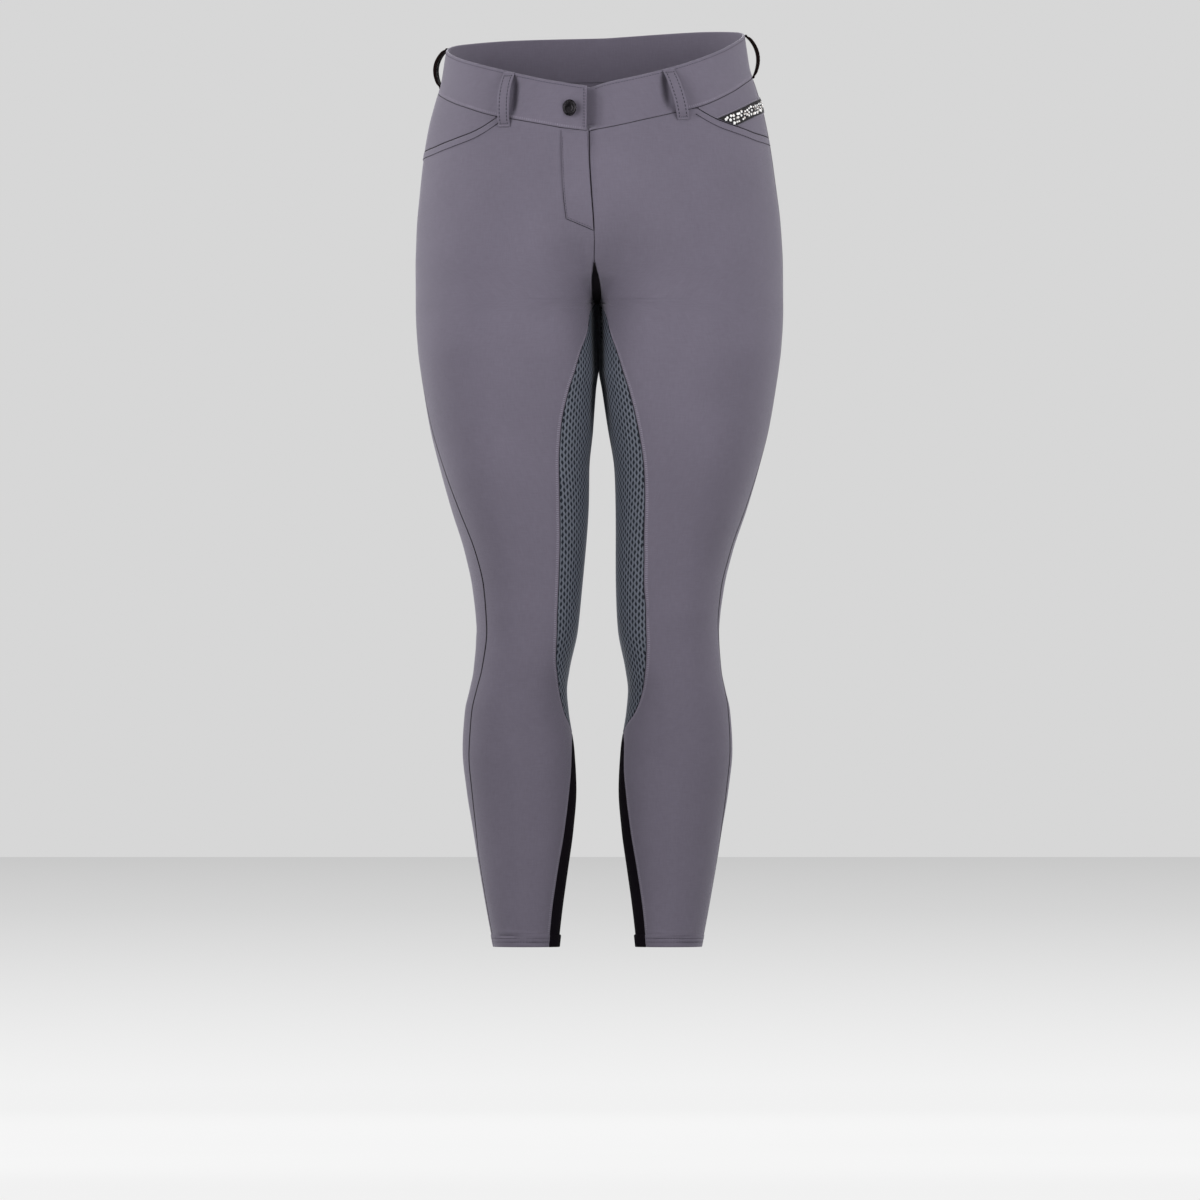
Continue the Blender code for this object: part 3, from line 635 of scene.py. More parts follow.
def lay_out(leg, rows, fractions):
    """Grid of heights and places. Each row is (rule for the height, first place, last place)."""
    heights = []
    places = []
    edge = np.array(EDGE_STEPS)
    for rule, first, last in rows:
        u = np.linspace(first, last, 161)
        z = rule(u)
        run = steps_along(skin(leg, z, u, 0.0), 0)
        total = run[-1]
        margin = edge * min(1.0, total / 30.0)
        middle = margin[-1] + (total - 2 * margin[-1]) * np.asarray(fractions)
        at = np.concatenate([margin[:-1], middle, total - margin[-2::-1]])
        places.append(np.interp(at, run, u))
        heights.append(np.interp(at, run, z))
    return np.array(heights), np.array(places)


def seam_drop(points, z, u):
    """Drop of a leg panel's rolled edges, slight where the grip starts at the crotch."""
    from_seam = np.minimum(np.mod(u, 1.0), 1 - np.mod(u, 1.0))
    near = np.exp(-(((z - CROTCH + 3.0) / 4.0) ** 2) - (from_seam / 0.05) ** 2)
    return edge_drop(points, SEAM_ROLL) * (1 - 0.9 * near)


def dress(name, node, leg, z, u, gaps, lift=0.0, free="", wall=CLOTH_WALL, **finish):
    """Panel of cloth with rolled seams, creases and its form's thickness."""
    out = facing(leg, z, u)
    plain = inset(skin(leg, z, u), out, gaps)
    relief = creased(leg, z, u)
    outer = plain + out * (lift + relief - seam_drop(plain, z, u))[..., None]
    thin = edge_drop(plain, wall / 2, free)
    inner = plain + out * (relief - wall + thin)[..., None]
    declare_cloth(add_wall(name + SIDE[leg], outer, inner, **finish), node + SIDE[leg], plain)


def hem_lift(z):
    """The turned hem stands a little proud of the leg."""
    return TURNED_EDGE * ease(HEM + HEM_DEPTH + 0.9, HEM + HEM_DEPTH - 0.4, z)


def front_top(u):
    """Upper edge of a front: the waist seam, then the pocket's curved edge."""
    mouth = np.where(u > MOUTH_FROM, along(POCKET_MOUTH, "edge", u), 0.0)
    return np.minimum(along(WAIST, "seam", u), mouth)


def front_cloth(leg):
    """Front of one leg with its turned pocket edge and hem."""
    places = np.linspace(0.0, 0.5, 2001)
    mouth_start = places[int(np.argmax(front_top(places) < along(WAIST, "seam", places)))]
    rows = []
    for d in EDGE_STEPS[:-1] + (3.0, 4.6, 6.2, 7.2, 7.8, 8.3, BELOW_MOUTH):
        rows.append((lambda u, d=d: front_top(u) - d, 0.0, 0.5))
    for t in np.linspace(0.0, 1.0, 11)[1:-1]:
        rows.append((lambda u, t=t: (front_top(u) - BELOW_MOUTH) * (1 - t) + t * FRONT_YOKE, 0.0, 0.5))
    rows += level_rows(leg, leg_heights(FRONT_YOKE, HEM), "inner_front", "side")
    corner = mouth_start / 0.5
    fractions = [NEAR_CENTRE, np.linspace(0.055, corner, 25), np.linspace(corner, 1, 28)[1:]]
    z, u = lay_out(leg, rows, np.concatenate(fractions))
    pocketed = ease(mouth_start - 0.004, mouth_start + 0.004, u)
    below = front_top(np.clip(u, 0, 0.5)) - z
    turned = pocketed * TURNED_EDGE * (1 - ease(MOUTH_BAND - 0.6, MOUTH_BAND + 0.6, below)) * (z > FORK_TOP)
    centre_seam = np.where(z[:, 0] > FLY_TIP, DARK_SEAM, SEWN_GAP)
    gaps = (np.where(u[0] > mouth_start, DARK_SEAM, FINE_SEAM), 0.0, centre_seam, SIDE_SEAM)
    dress("front_cloth_", "front_", leg, z, u, gaps, turned + hem_lift(z), "last_row")


def back_cloth(leg):
    """Back of one leg, round the seat's grip, with its hem."""
    def above_grip(u, share):
        top = along(WAIST, "seam", u) - EDGE_STEPS[-1]
        grip_line = GRIP_TOP + (GRIP_TOP_BACK - GRIP_TOP) * (u - 0.5) / 0.5
        return top * (1 - share) + share * grip_line

    rows = []
    for d in EDGE_STEPS:
        rows.append((lambda u, d=d: along(WAIST, "seam", u) - d, 0.5, 1.0))
    for t in np.linspace(0.0, 1.0, 17)[1:]:
        rows.append((lambda u, t=t: above_grip(u, t), 0.5, 1.0))
    heights = [-70.0, -70.6, -71.4] + TOP_ROWS + leg_heights(-94.0, HEM)
    rows += level_rows(leg, heights, "side", "inner_back")
    z, u = lay_out(leg, rows, np.linspace(0, 1, 34))
    dress("back_cloth_", "back_", leg, z, u, (FINE_SEAM, 0.0, SIDE_SEAM, FINE_SEAM), hem_lift(z), "last_row")


def grip_cloth(leg, net):
    """Dark ground of the grip panel, under its raised net."""
    def top(u):
        return GRIP_TOP + (GRIP_TOP_BACK - GRIP_TOP) * (u - GRIP_CORNER) / 0.015 - SEAM_GAP

    rows = [(top, GRIP_CORNER, 1.0)]
    heights = [-70.9, -71.6] + TOP_ROWS + leg_heights(-94.0, GRIP_END)
    for height, (rule, first, last) in zip(heights, level_rows(leg, heights, "inner_back", "inner_front")):
        rows.append((rule, first, last - 0.003 * (CROTCH - 3.0 < height < CROTCH + 1.0)))
    z, u = lay_out(leg, rows, np.linspace(0, 1, 96))
    out = facing(leg, z, u)
    plain = inset(skin(leg, z, u), out, (FINE_SEAM, SEWN_GAP, FINE_SEAM, SEWN_GAP))
    relief = creased(leg, z, u)
    outer = plain + out * (relief - seam_drop(plain, z, u) - GRIP_BASE_DROP)[..., None]
    inner = plain + out * (relief - CLOTH_WALL)[..., None]
    piece = add_wall("grip_ground_" + SIDE[leg], outer, inner, "grip_ground", "grip_cloth")
    declare_cloth(piece, "grip_" + SIDE[leg], plain, [net])


def calf_insert(leg):
    """Elastic insert inside one calf."""
    heights = [GRIP_END - d for d in EDGE_STEPS] + spaced_rows(-648.0, *TO_HEM) + HEM_ROWS
    rows = level_rows(leg, heights, "inner_back", "inner_front")
    z, u = lay_out(leg, rows, np.linspace(0, 1, 24))
    dress("insert_elastic_", "calf_insert_", leg, z, u, (SEWN_GAP, 0.0, FINE_SEAM, FINE_SEAM),
          2.6 * hem_lift(z), "last_row", INSERT_WALL, material="calf_elastic", slot="black_elastic")


def facing_cloth(leg):
    """Cloth seen above the pocket mouth."""
    def mouth(u):
        return along(POCKET_MOUTH, "edge", u) + SEAM_GAP * (u < 0.28)

    rows = []
    for t in (0.0, 0.004, 0.012, 0.025, 0.05, 0.1, 0.2, 0.3, 0.4, 0.5, 0.6, 0.7, 0.8, 0.9, 0.95, 0.98, 1.0):
        rows.append((lambda u, t=t: along(WAIST, "seam", u) * (1 - t) + mouth(u) * t, FACING_START, 0.5))
    z, u = lay_out(leg, rows, np.linspace(0, 1, 34))
    dress("facing_cloth_", "pocket_facing_", leg, z, u, (FINE_SEAM, DARK_SEAM, SEWN_GAP, SIDE_SEAM))


def fine_ends(edge, low, high, count):
    """Shares from 0 to 1 that lie close together at both ends."""
    edge = np.array(edge)
    return np.concatenate([edge, np.linspace(low, high, count), 1 - edge[::-1]])


def band_places(runs, share):
    """Legs, heights and places on the waistband: a run is 0 and 2 at the centre front, 1 at the back."""
    legs = np.where((runs <= 1) | (runs > 2), RIGHT, LEFT)
    u = np.where(runs <= 1, runs, np.abs(2 - runs))
    low = along(WAIST, "seam", u)
    high = along(WAIST, "top", u)
    return legs, low + (high - low) * share, u


def on_either_leg(legs, z, u):
    """Points and outward directions where each point has its own leg."""
    on_left = (legs == LEFT)[..., None]
    return tuple(np.where(on_left, rule(LEFT, z, u), rule(RIGHT, z, u)) for rule in (skin, facing))


def band_grid(runs, shares):
    """Points and outward directions over the waistband."""
    return on_either_leg(*band_places(*np.broadcast_arrays(runs[None, :], shares[:, None])))


def band_offset(runs, shares):
    """How far the waistband stands off: its upper end lifts and its lower end sinks beneath."""
    lip = 1.7 * (1 - ease(OVERLAP_END, 0.036, runs))
    sunk = (BAND_WALL + SEAM_GAP + 0.15) * ease(1.93, 1.99, runs) + 6.5 * ease(1.955, 1.991, runs)
    off = lip - sunk * ease(0.0, 0.16, shares)
    for run, depth in BAND_HOLLOWS:
        tall = ease(0.02, 0.35, shares) * (1 - ease(0.72, 0.97, shares))
        off = off - depth * tall * hump(runs, 0.0115, run)
    return off


def waistband_cloth():
    """One strip round the waist with a folded top edge, the wearer's right end on top."""
    end = 2.0 + UNDERLAP_LENGTH
    edge = np.array(EDGE_STEPS) * (1.0 / BAND_LENGTH)
    runs = np.concatenate([
        OVERLAP_END + edge[:-1],
        np.linspace(OVERLAP_END + edge[-1], 0.1, 24),
        np.linspace(0.1, 1.9, 330)[1:],
        np.linspace(1.9, end - edge[-1], 56)[1:],
        end - edge[-2::-1],
    ])
    edge = np.array(EDGE_STEPS) / BAND_HEIGHT
    shares = fine_ends(edge[:-1], edge[-1], 1 - edge[-1], 11)
    points, out = band_grid(runs, shares)
    points = inset(points, out, (FINE_SEAM, 0.0, 0.0, 0.0))
    lift = band_offset(runs[None, :], shares[:, None])
    fold = edge_drop(points, BAND_WALL / 2, "last_row")
    ends = edge_drop(points, BAND_WALL / 2 - 0.1, "first_column last_column first_row")
    outer = points + out * (lift - np.maximum(fold, ends))[..., None]
    inner = points + out * (lift - BAND_WALL + np.maximum(fold, ends))[..., None]
    declare_cloth(add_wall("waistband_cloth", outer, inner), "waistband", np.swapaxes(points, 0, 1))


def add_strip(name, leg, z, u, lift, wall, radius, *finish):
    """Strip with rounded edges that stands off the cloth by its lift, and the points under it."""
    out = facing(leg, z, u)
    base = skin(leg, z, u)
    drop = edge_drop(base, radius)
    outer = base + out * (lift + wall - drop)[..., None]
    inner = base + out * (lift + drop * 0.6)[..., None]
    return add_wall(name, outer, inner, *finish), base


def tape_between(name, first, second, depth=TAPE_DEPTH):
    """Dark strip in a seam, between a line on each side of it: the seam's overlocked edge, which also paints
    the seam's shade.
    """
    lines = []
    for points, out in (first, second):
        below = np.broadcast_to(depth, len(points))[:, None]
        lines.append((points - out * below, points - out * (below + TAPE_WALL)))
    outer = np.stack([lines[0][0], (lines[0][0] + lines[1][0]) / 2, lines[1][0]], axis=1)
    inner = np.stack([lines[0][1], (lines[0][1] + lines[1][1]) / 2, lines[1][1]], axis=1)
    return add_wall(name, outer, inner, "overlock_and_seam_shadow")


def tape_line(leg, z, u):
    """Creased points and outward directions along one edge of a seam tape."""
    z, u = np.broadcast_arrays(np.asarray(z, dtype=float), np.asarray(u, dtype=float))
    out = facing(leg, z, u)
    return skin(leg, z, u) + out * creased(leg, z, u)[:, None], out


def leg_tape(leg, name, top, depth=TAPE_DEPTH, width=TAPE_WIDTH):
    """Dark tape in one lengthwise seam of a leg, down to the hem: its overlocked edge and painted shade of
    the seam.
    """
    z = np.array(spaced_rows(top, (HEM + 3.0, 4.0)))
    u = seam(leg, name, z)
    half = width / 2 / reach_round(leg, z, u, 0.005)
    edges = (tape_line(leg, z, u - half), tape_line(leg, z, u + half))
    tape_between(name + "_tape_" + SIDE[leg], *edges, depth)


def leg_tapes(leg):
    """Dark tapes in the side, inner and pocket seams of one leg, painting the seams' shade; those of the
    side and inner seams are also their overlocked edges.
    """
    leg_tape(leg, "side", 2.0, *SIDE_TAPE[leg])
    leg_tape(leg, "inner_front", CROTCH - 7.0, INNER_FRONT_DEPTH)
    leg_tape(leg, "inner_back", -72.0, INNER_BACK_DEPTH)
    # painted shadow: a dark strip raised on the pocket mouth's edge, where the opening lies in shade
    places = np.linspace(0.262, 0.498, 60)
    edge = along(POCKET_MOUTH, "edge", places)
    edges = (tape_line(leg, edge + TAPE_WIDTH / 2, places), tape_line(leg, edge - TAPE_WIDTH / 2, places))
    tape_between("mouth_shadow_" + SIDE[leg], *edges, MOUTH_SHADOW_DEPTH)


def centre_tape(name, top, place, deeper=0.0):
    """Dark tape under a centre seam down to the crotch, deeper below the fly: the seam's overlocked edge,
    which also paints its shade.
    """
    down = np.array(spaced_rows(top, (-200.0, 4.0), (CROTCH, 0.5)))
    depth = TAPE_DEPTH + deeper * ease(FLY_TIP + 4.0, FLY_TIP - 4.0, down)
    tape_between(name, tape_line(LEFT, down, place), tape_line(RIGHT, down, place), depth)


def fork_shadow_strip():
    """The same dark tape deep in the fork between the thighs, as painted shadow that darkens the groove."""
    down = np.linspace(FORK_SHADOW_TOP, FORK_SHADOW_FOOT, 36)
    middle = skin(LEFT, down, 0.0, 0.0)
    brim = skin(LEFT, down, 0.016, 0.0)
    out = np.tile((0.0, -1.0, 0.0), (len(down), 1))
    edges = []
    for way in (-1, 1):
        reach = along(GROOVE, "half_width", down) * ease(-170.0, -179.0, down) + 0.2
        points = np.stack([middle[:, 0] + way * reach, brim[:, 1], down], axis=-1)
        points[:, 1] += np.minimum(0.6 * along(GROOVE, "depth", down), 11.0)
        edges.append((points, out))
    tape_between("fork_shadow_strip", *edges, 0.0)


def waist_tape():
    """Dark tape under the waistband's seam: its overlocked edge, which also paints the seam's shade."""
    legs, z, u = band_places(np.linspace(OVERLAP_END, 2.0 - OVERLAP_END, 400), 0.0)
    edges = (on_either_leg(legs, z + step, u) for step in (WAIST_TAPE_HALF, -WAIST_TAPE_HALF))
    tape_between("waist_tape", *edges)


def fly_foot(across):
    """Height of the fly's slanted foot at a share of its width."""
    return FLY_TIP + (FLY_CORNER - FLY_TIP) * across


def fly_place(z, across):
    """Place round the leg at a share of the fly's width."""
    inner_edge = along(FLY, "inner_edge", z)
    return inner_edge + (along(FLY, "outer_edge", z) - inner_edge) * across


def fly_shadow_strips():
    """Painted shadow: dark strips beside and below the fly, where its raised edge throws shade."""
    down = np.linspace(-46.0, FLY_CORNER, 60)
    outside = along(FLY, "outer_edge", down)
    edges = (tape_line(RIGHT, down, outside + 0.0001), tape_line(RIGHT, down, outside + 0.0016))
    tape_between("fly_side_shadow", *edges, FLY_SHADOW_DEPTH)
    over = np.linspace(0.0, 1.0, 24)
    foot = fly_foot(over)
    places = fly_place(foot, over)
    edges = (tape_line(RIGHT, foot, places), tape_line(RIGHT, foot - 0.7, places))
    tape_between("fly_foot_shadow", *edges, FLY_SHADOW_DEPTH)


def fly_cloth():
    """Raised fly on the wearer's right front."""
    across = fine_ends((0.0, 0.006, 0.015, 0.03, 0.06), 0.1, 0.9, 9)[None, :]
    down = fine_ends((0.0, 0.002, 0.005, 0.010, 0.02), 0.04, 0.96, 22)[:, None]
    z = FLY_TOP + (fly_foot(across) - FLY_TOP) * down
    u = fly_place(z, across)
    z = z + 3.0 * across * (1 - down)
    piece, base = add_strip("fly_cloth", RIGHT, z, u, LAY_GAP - FLY_SINK, FLY_WALL, 0.75)
    declare_cloth(piece, "fly", base)


# each loop by leg: place of its top and foot, width, bow, and how far its ends lie below the band's edges
FRONT_LOOP = {
    LEFT: (0.2015, 0.2235, FRONT_LOOP_WIDTH, FRONT_LOOP_BOW, 1.0, 9.0),
    RIGHT: (0.2390, 0.2360, FRONT_LOOP_WIDTH, FRONT_LOOP_BOW, 1.0, 9.0),
}
SIDE_LOOP = {
    LEFT: (0.530, 0.530, SIDE_LOOP_WIDTH, SIDE_LOOP_BOW, 1.0, 2.2),
    RIGHT: (0.530, 0.530, SIDE_LOOP_WIDTH, SIDE_LOOP_BOW, 1.0, -1.5),
}
LOOPS = {
    "front": (FRONT_LOOP, LOOP_WALL, "breeches_cloth", "stretch_cloth", "dark_seam_thread", 1.05),
    "side": (SIDE_LOOP, SIDE_LOOP_WALL, "dark_strap", "dark_loop", "dark_thread", 0.6),
}


def loop_places(leg, top_u, foot_u, width, bow, top_drop, foot_drop, down, across):
    """Heights, places and stand-off over a belt loop."""
    u = top_u + (foot_u - top_u) * down + 0 * across
    top = along(WAIST, "top", top_u) - top_drop
    foot = along(WAIST, "seam", foot_u) - foot_drop
    z = top + (foot - top) * down + 0 * across
    u = u + across * width / reach_round(leg, z, u, 0.01)
    lift = bow * np.clip(np.sin(math.pi * np.clip((down - 0.05) / 0.9, 0, 1)), 0, 1) ** 0.7 + 0 * across
    return z, u, lift


def loop_wall(wall, down):
    """Thickness of a belt loop along its length, thinner at its sewn ends."""
    return LOOP_WALL + (wall - LOOP_WALL) * (ease(0.0, 0.10, down) * ease(1.0, 0.90, down))


def belt_loop(kind, leg):
    """Strap over the waistband, both ends on the cloth and its middle standing off."""
    shapes, wall, material, slot = LOOPS[kind][:4]
    down = fine_ends((0.0, 0.002, 0.006, 0.012, 0.02), 0.04, 0.96, 34)[:, None]
    across = fine_ends((0.0, 0.008, 0.022, 0.045, 0.075), 0.12, 0.88, 9)[None, :] - 0.5
    z, u, lift = loop_places(leg, *shapes[leg], down, across)
    piece, base = add_strip(kind + "_loop_" + SIDE[leg], leg, z, u, LAY_GAP + lift, loop_wall(wall, down),
                            LOOP_WALL / 2, material, slot)
    declare_cloth(piece, "belt_loop_" + kind + "_" + SIDE[leg], base)


def crystal_line(u, down):
    """Height of a line along the crystal band, which sags from the waist seam towards the side."""
    top = along(WAIST, "seam", u) - CRYSTAL_BAND_DROP - CRYSTAL_BAND_SAG * ease(0.30, 0.50, u)
    return top - CRYSTAL_BAND_WIDTH * down


def crystal_places(down, over):
    """Heights and places over the crystal band, cut along the pocket mouth at its front end."""
    places = np.linspace(0.26, 0.5, 1200)
    edge = along(POCKET_MOUTH, "edge", places) + 1.2
    down = np.asarray(down, dtype=float)
    start = [places[int(np.argmax(crystal_line(places, share) > edge))] for share in down]
    start = np.array(start)[:, None]
    u = start + (0.4965 - start) * np.asarray(over, dtype=float)[None, :]
    return crystal_line(u, down[:, None]), u


def trim_fold(name, down):
    """Narrow folded edge of the facing along the crystal band."""
    shares = down + np.array((-0.065, -0.05, -0.025, 0.0, 0.025, 0.05, 0.065))
    z, u = crystal_places(shares, np.linspace(0.0, 1.0, 60))
    out = facing(LEFT, z, u)
    rise = np.array((-0.3, 0.55, 1.05, 1.25, 1.05, 0.55, -0.3))[:, None, None]
    base = skin(LEFT, z, u)
    return add_wall(name, base + out * (rise + 0.2), base - out * 0.3)


def ring_points(centre, out, radius, steps, turn=0.0, spin=0.0):
    """Points of a circle round an outward direction."""
    side = unit(np.cross((0.0, 0.0, 1.0), out))
    up = np.cross(out, side)
    angles = [2 * math.pi * (k + turn) / steps + spin for k in range(steps)]
    return [centre + (side * math.cos(angle) + up * math.sin(angle)) * radius for angle in angles]


def stones_on_trim():
    """Small flat-backed stones in three uneven rows along the trim, each facet with a painted glint: a
    random shade from dark to white.
    """
    chance = np.random.default_rng(7)
    points = []
    faces = []
    glints = []
    stones = []
    for row, count in ((0.26, 17), (0.50, 16), (0.73, 17)):
        for k in range(count):
            over = (k + 0.5 + 0.34 * chance.uniform(-1, 1) + (0.5 if row == 0.5 else 0.0)) / (count + 0.5)
            over = 1 - max(1 - over, 0.0) ** 0.8
            down = row + 0.07 * chance.uniform(-1, 1)
            z, u = crystal_places([down], [min(max(over, 0.03), 0.985)])
            centre = skin(LEFT, z, u)[0, 0]
            radius = STONE_RADIUS + STONE_SPREAD * chance.uniform(0, 1)
            near = [np.linalg.norm(centre - other) / (reach + radius) for other, reach in stones]
            if near and min(near) < 0.92:
                continue
            stones.append((centre, radius))
            out = unit(facing(LEFT, z, u)[0, 0] + 0.16 * chance.uniform(-1, 1, 3))
            spin = chance.uniform(0, 1)
            first = len(points)
            for share, height, turn in STONE_RINGS:
                middle = centre + out * (LAY_GAP + TRIM_WALL - 0.25 + height)
                points += ring_points(middle, out, radius * share, STONE_SIDES, turn, spin)
            for ring in range(len(STONE_RINGS) - 1):
                for j in range(STONE_SIDES):
                    a = first + ring * STONE_SIDES + j
                    b = first + ring * STONE_SIDES + (j + 1) % STONE_SIDES
                    faces.append((a, b, b + STONE_SIDES, a + STONE_SIDES))
            faces.append(tuple(range(len(points) - STONE_SIDES, len(points))))
            faces.append(tuple(first + j for j in reversed(range(STONE_SIDES))))
            # painted glints: a random shade for each stone and each of its facets
            glint = 0.16 + 0.85 * chance.uniform(0, 1) + 0.5 * chance.uniform(-1, 1, 26)
            glints += list(np.clip(glint, 0, 1))
    piece = add_mesh("crystal_stones", points, faces, "cut_stone", smooth=False)
    piece.data.attributes.new("stone_painted_glint", "FLOAT", "FACE").data.foreach_set("value", glints)
    return piece


def crystal_trim():
    """Black trim across the wearer's left pocket facing, with its stones and folded edges."""
    edge = np.array((0.0, 0.01, 0.03, 0.06))
    z, u = crystal_places(fine_ends(edge, 0.12, 0.88, 8), fine_ends(edge / 3, 0.05, 0.95, 26))
    piece, base = add_strip("crystal_trim", LEFT, z, u, LAY_GAP - 0.1, TRIM_WALL, 0.5,
                            "trim_ribbon", "crystal_trim")
    folds = [trim_fold("trim_fold_upper", -0.05), trim_fold("trim_fold_lower", 1.06)]
    declare_cloth(piece, "crystal_band", base, [stones_on_trim()] + folds)


# radius and height of the button's turned section, from the back of its shank to the middle of its face
BUTTON_PROFILE = (
    (0.0, -2.4), (2.6, -2.4), (2.6, 0.9), (3.2, 1.2), (6.9, 1.2), (7.5, 1.4), (7.9, 1.9),
    (8.0, 2.4), (7.85, 2.95), (7.4, 3.35), (6.9, 3.45), (6.4, 3.3), (6.05, 2.9), (5.8, 2.75),
    (5.3, 2.8), (4.6, 2.95), (4.3, 2.85), (4.0, 2.95), (2.4, 3.1), (1.2, 3.15), (0.0, 3.17),
)


def round_button():
    """Dark metal button with a raised rim and a plain dished face."""
    out = unit(facing(RIGHT, BUTTON_HEIGHT, BUTTON_PLACE) + np.array(BUTTON_TILT))
    centre = skin(RIGHT, BUTTON_HEIGHT, BUTTON_PLACE) + out * BUTTON_SHANK
    points = [centre + out * (0.05 + BUTTON_PROFILE[0][1])]
    for radius, height in BUTTON_PROFILE[1:-1]:
        radius = radius * BUTTON_RADIUS / 8.0
        points += ring_points(centre + out * (0.05 + height), out, radius, BUTTON_STEPS)
    points.append(centre + out * (0.05 + BUTTON_PROFILE[-1][1]))
    faces = []
    last_ring = len(BUTTON_PROFILE) - 3
    for k in range(BUTTON_STEPS):
        following = (k + 1) % BUTTON_STEPS
        faces.append((0, 1 + following, 1 + k))
        for ring in range(last_ring):
            a = 1 + ring * BUTTON_STEPS
            b = a + BUTTON_STEPS
            faces.append((a + k, a + following, b + following, b + k))
        a = 1 + last_ring * BUTTON_STEPS
        faces.append((a + k, a + following, len(points) - 1))
    piece = add_mesh("round_button", points, faces, "gunmetal")
    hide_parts("waist_button")


def thread_row(rows, leg, z, u, lift, pitch=STITCH_PITCH, length=STITCH_LENGTH, turn=0.0):
    """Adds a row of stitches along a line on the cloth: turn lays each stitch at an angle to the line."""
    out = facing(leg, z, u)
    lift = np.broadcast_to(np.asarray(lift, dtype=float), z.shape)
    rows.append((skin(leg, z, u) + out * lift[:, None], out, pitch, length, turn))


def sew(name, rows, material, width, height):
    """Raised thread stitches along rows of points."""
    points = []
    faces = []
    made = 0
    share = np.array((-0.5, -0.32, 0.32, 0.5))
    rise = np.array((-0.05, height, height, -0.05))[None, :, None]
    low = -0.1
    for line, out, pitch, length, turn in rows:
        run = steps_along(line, 0)
        count = int(run[-1] / pitch)
        middle = (np.arange(count) + 0.5) * run[-1] / count
        at = np.clip(middle[:, None] + share[None, :] * length * math.cos(turn), 0.0, run[-1])
        spot, up, ahead = (np.stack([np.interp(at, run, values[:, k]) for k in range(3)], axis=-1)
                           for values in (line, out, np.gradient(line, axis=0)))
        ahead = unit(ahead)
        side = unit(np.cross(up, ahead))
        spot = spot + side * (share * length * math.sin(turn))[None, :, None]
        beside = side * math.cos(turn) - ahead * math.sin(turn)
        ring = [spot + beside * width * across + up * tall for across, tall in
                ((-0.5, low), (-0.3, rise * 0.8), (0.0, rise), (0.3, rise * 0.8), (0.5, low))]
        points.append(np.stack(ring, axis=2).reshape(-1, 3))
        index = made + np.arange(count * 20).reshape(count, 4, 5)
        made += count * 20
        quads = [index[:, :-1, :-1], index[:, :-1, 1:], index[:, 1:, 1:], index[:, 1:, :-1]]
        faces.append(np.stack([q.ravel() for q in quads], axis=1))
    return add_mesh(name, np.concatenate(points), np.concatenate(faces).tolist(), material)


def line_on_band(rows, start, end, share, pitch=STITCH_PITCH, turn=0.0):
    """Row of stitches along the waistband."""
    runs = np.linspace(start, end, int((end - start) * BAND_LENGTH / 2.0))
    points, out = band_grid(runs, np.array([share]))
    points = points[0] + out[0] * band_offset(runs, share)[:, None]
    rows.append((points, out[0], pitch, STITCH_LENGTH, turn))


def waistband_stitches():
    """Edge rows of the waistband and the cross stitches over its seam."""
    rows = []
    line_on_band(rows, 0.012, 1.985, 0.935)
    shares = np.linspace(0.05, 0.93, 30)
    for from_end in (3.0, 5.4):
        runs = np.full(30, OVERLAP_END + from_end / FRONT_LENGTH)
        z, u = band_places(runs, shares)[1:]
        thread_row(rows, RIGHT, z, u, band_offset(runs, shares), length=2.2)
    sew("waistband_stitches", rows, "seam_thread", 0.72, 0.16)
    rows = []
    for start, end in ((0.015, 0.99), (1.01, 1.79)):
        line_on_band(rows, start, end, 0.055, 2.3, math.pi / 2)
    sew("waist_seam_stitches", rows, "cover_thread", 0.8, 0.14)


def loop_stitches(kind, leg):
    """Two lengthwise rows and a bar near each end of a belt loop."""
    shapes, wall, material, slot, thread, width = LOOPS[kind]
    lengthwise = np.linspace(0.03, 0.97, 60)
    crosswise = np.linspace(-0.40, 0.40, 9)
    lines = [(lengthwise, across, 3.6, 2.5) for across in (-0.30, 0.30)]
    lines += [(np.full(9, down), crosswise, 1.7, 1.4) for down in (0.075, 0.945)]
    rows = []
    for down, across, pitch, length in lines:
        z, u, lift = loop_places(leg, *shapes[leg], down, across)
        thread_row(rows, leg, z, u, LAY_GAP + loop_wall(wall, down) + lift, pitch, length)
    sew(kind + "_loop_stitches_" + SIDE[leg], rows, thread, width, 0.12)


def pocket_stitches(leg):
    """Row along the turned pocket edge."""
    rows = []
    u = np.linspace(0.252, 0.498, 70)
    z = np.minimum(along(POCKET_MOUTH, "edge", u) - 7.3, along(WAIST, "seam", u) - 1.0)
    thread_row(rows, leg, z, u, TURNED_EDGE - 0.05, 2.4, 2.25)
    sew("pocket_stitches_" + SIDE[leg], rows, "dark_seam_thread", 0.95, 0.14)


def fly_stitches():
    """Row along the outer edge and slanted foot of the fly."""
    rows = []
    lift = FLY_WALL + LAY_GAP - FLY_SINK
    z = np.linspace(-47.0, FLY_CORNER + 1.8, 60)
    thread_row(rows, RIGHT, z, along(FLY, "outer_edge", z) - 1.9 / FRONT_LENGTH, lift)
    across = np.linspace(0.06, 0.96, 20)
    z = fly_foot(across) + 2.0
    thread_row(rows, RIGHT, z, fly_place(z, across), lift)
    sew("fly_stitches", rows, "seam_thread", 0.45, 0.22)


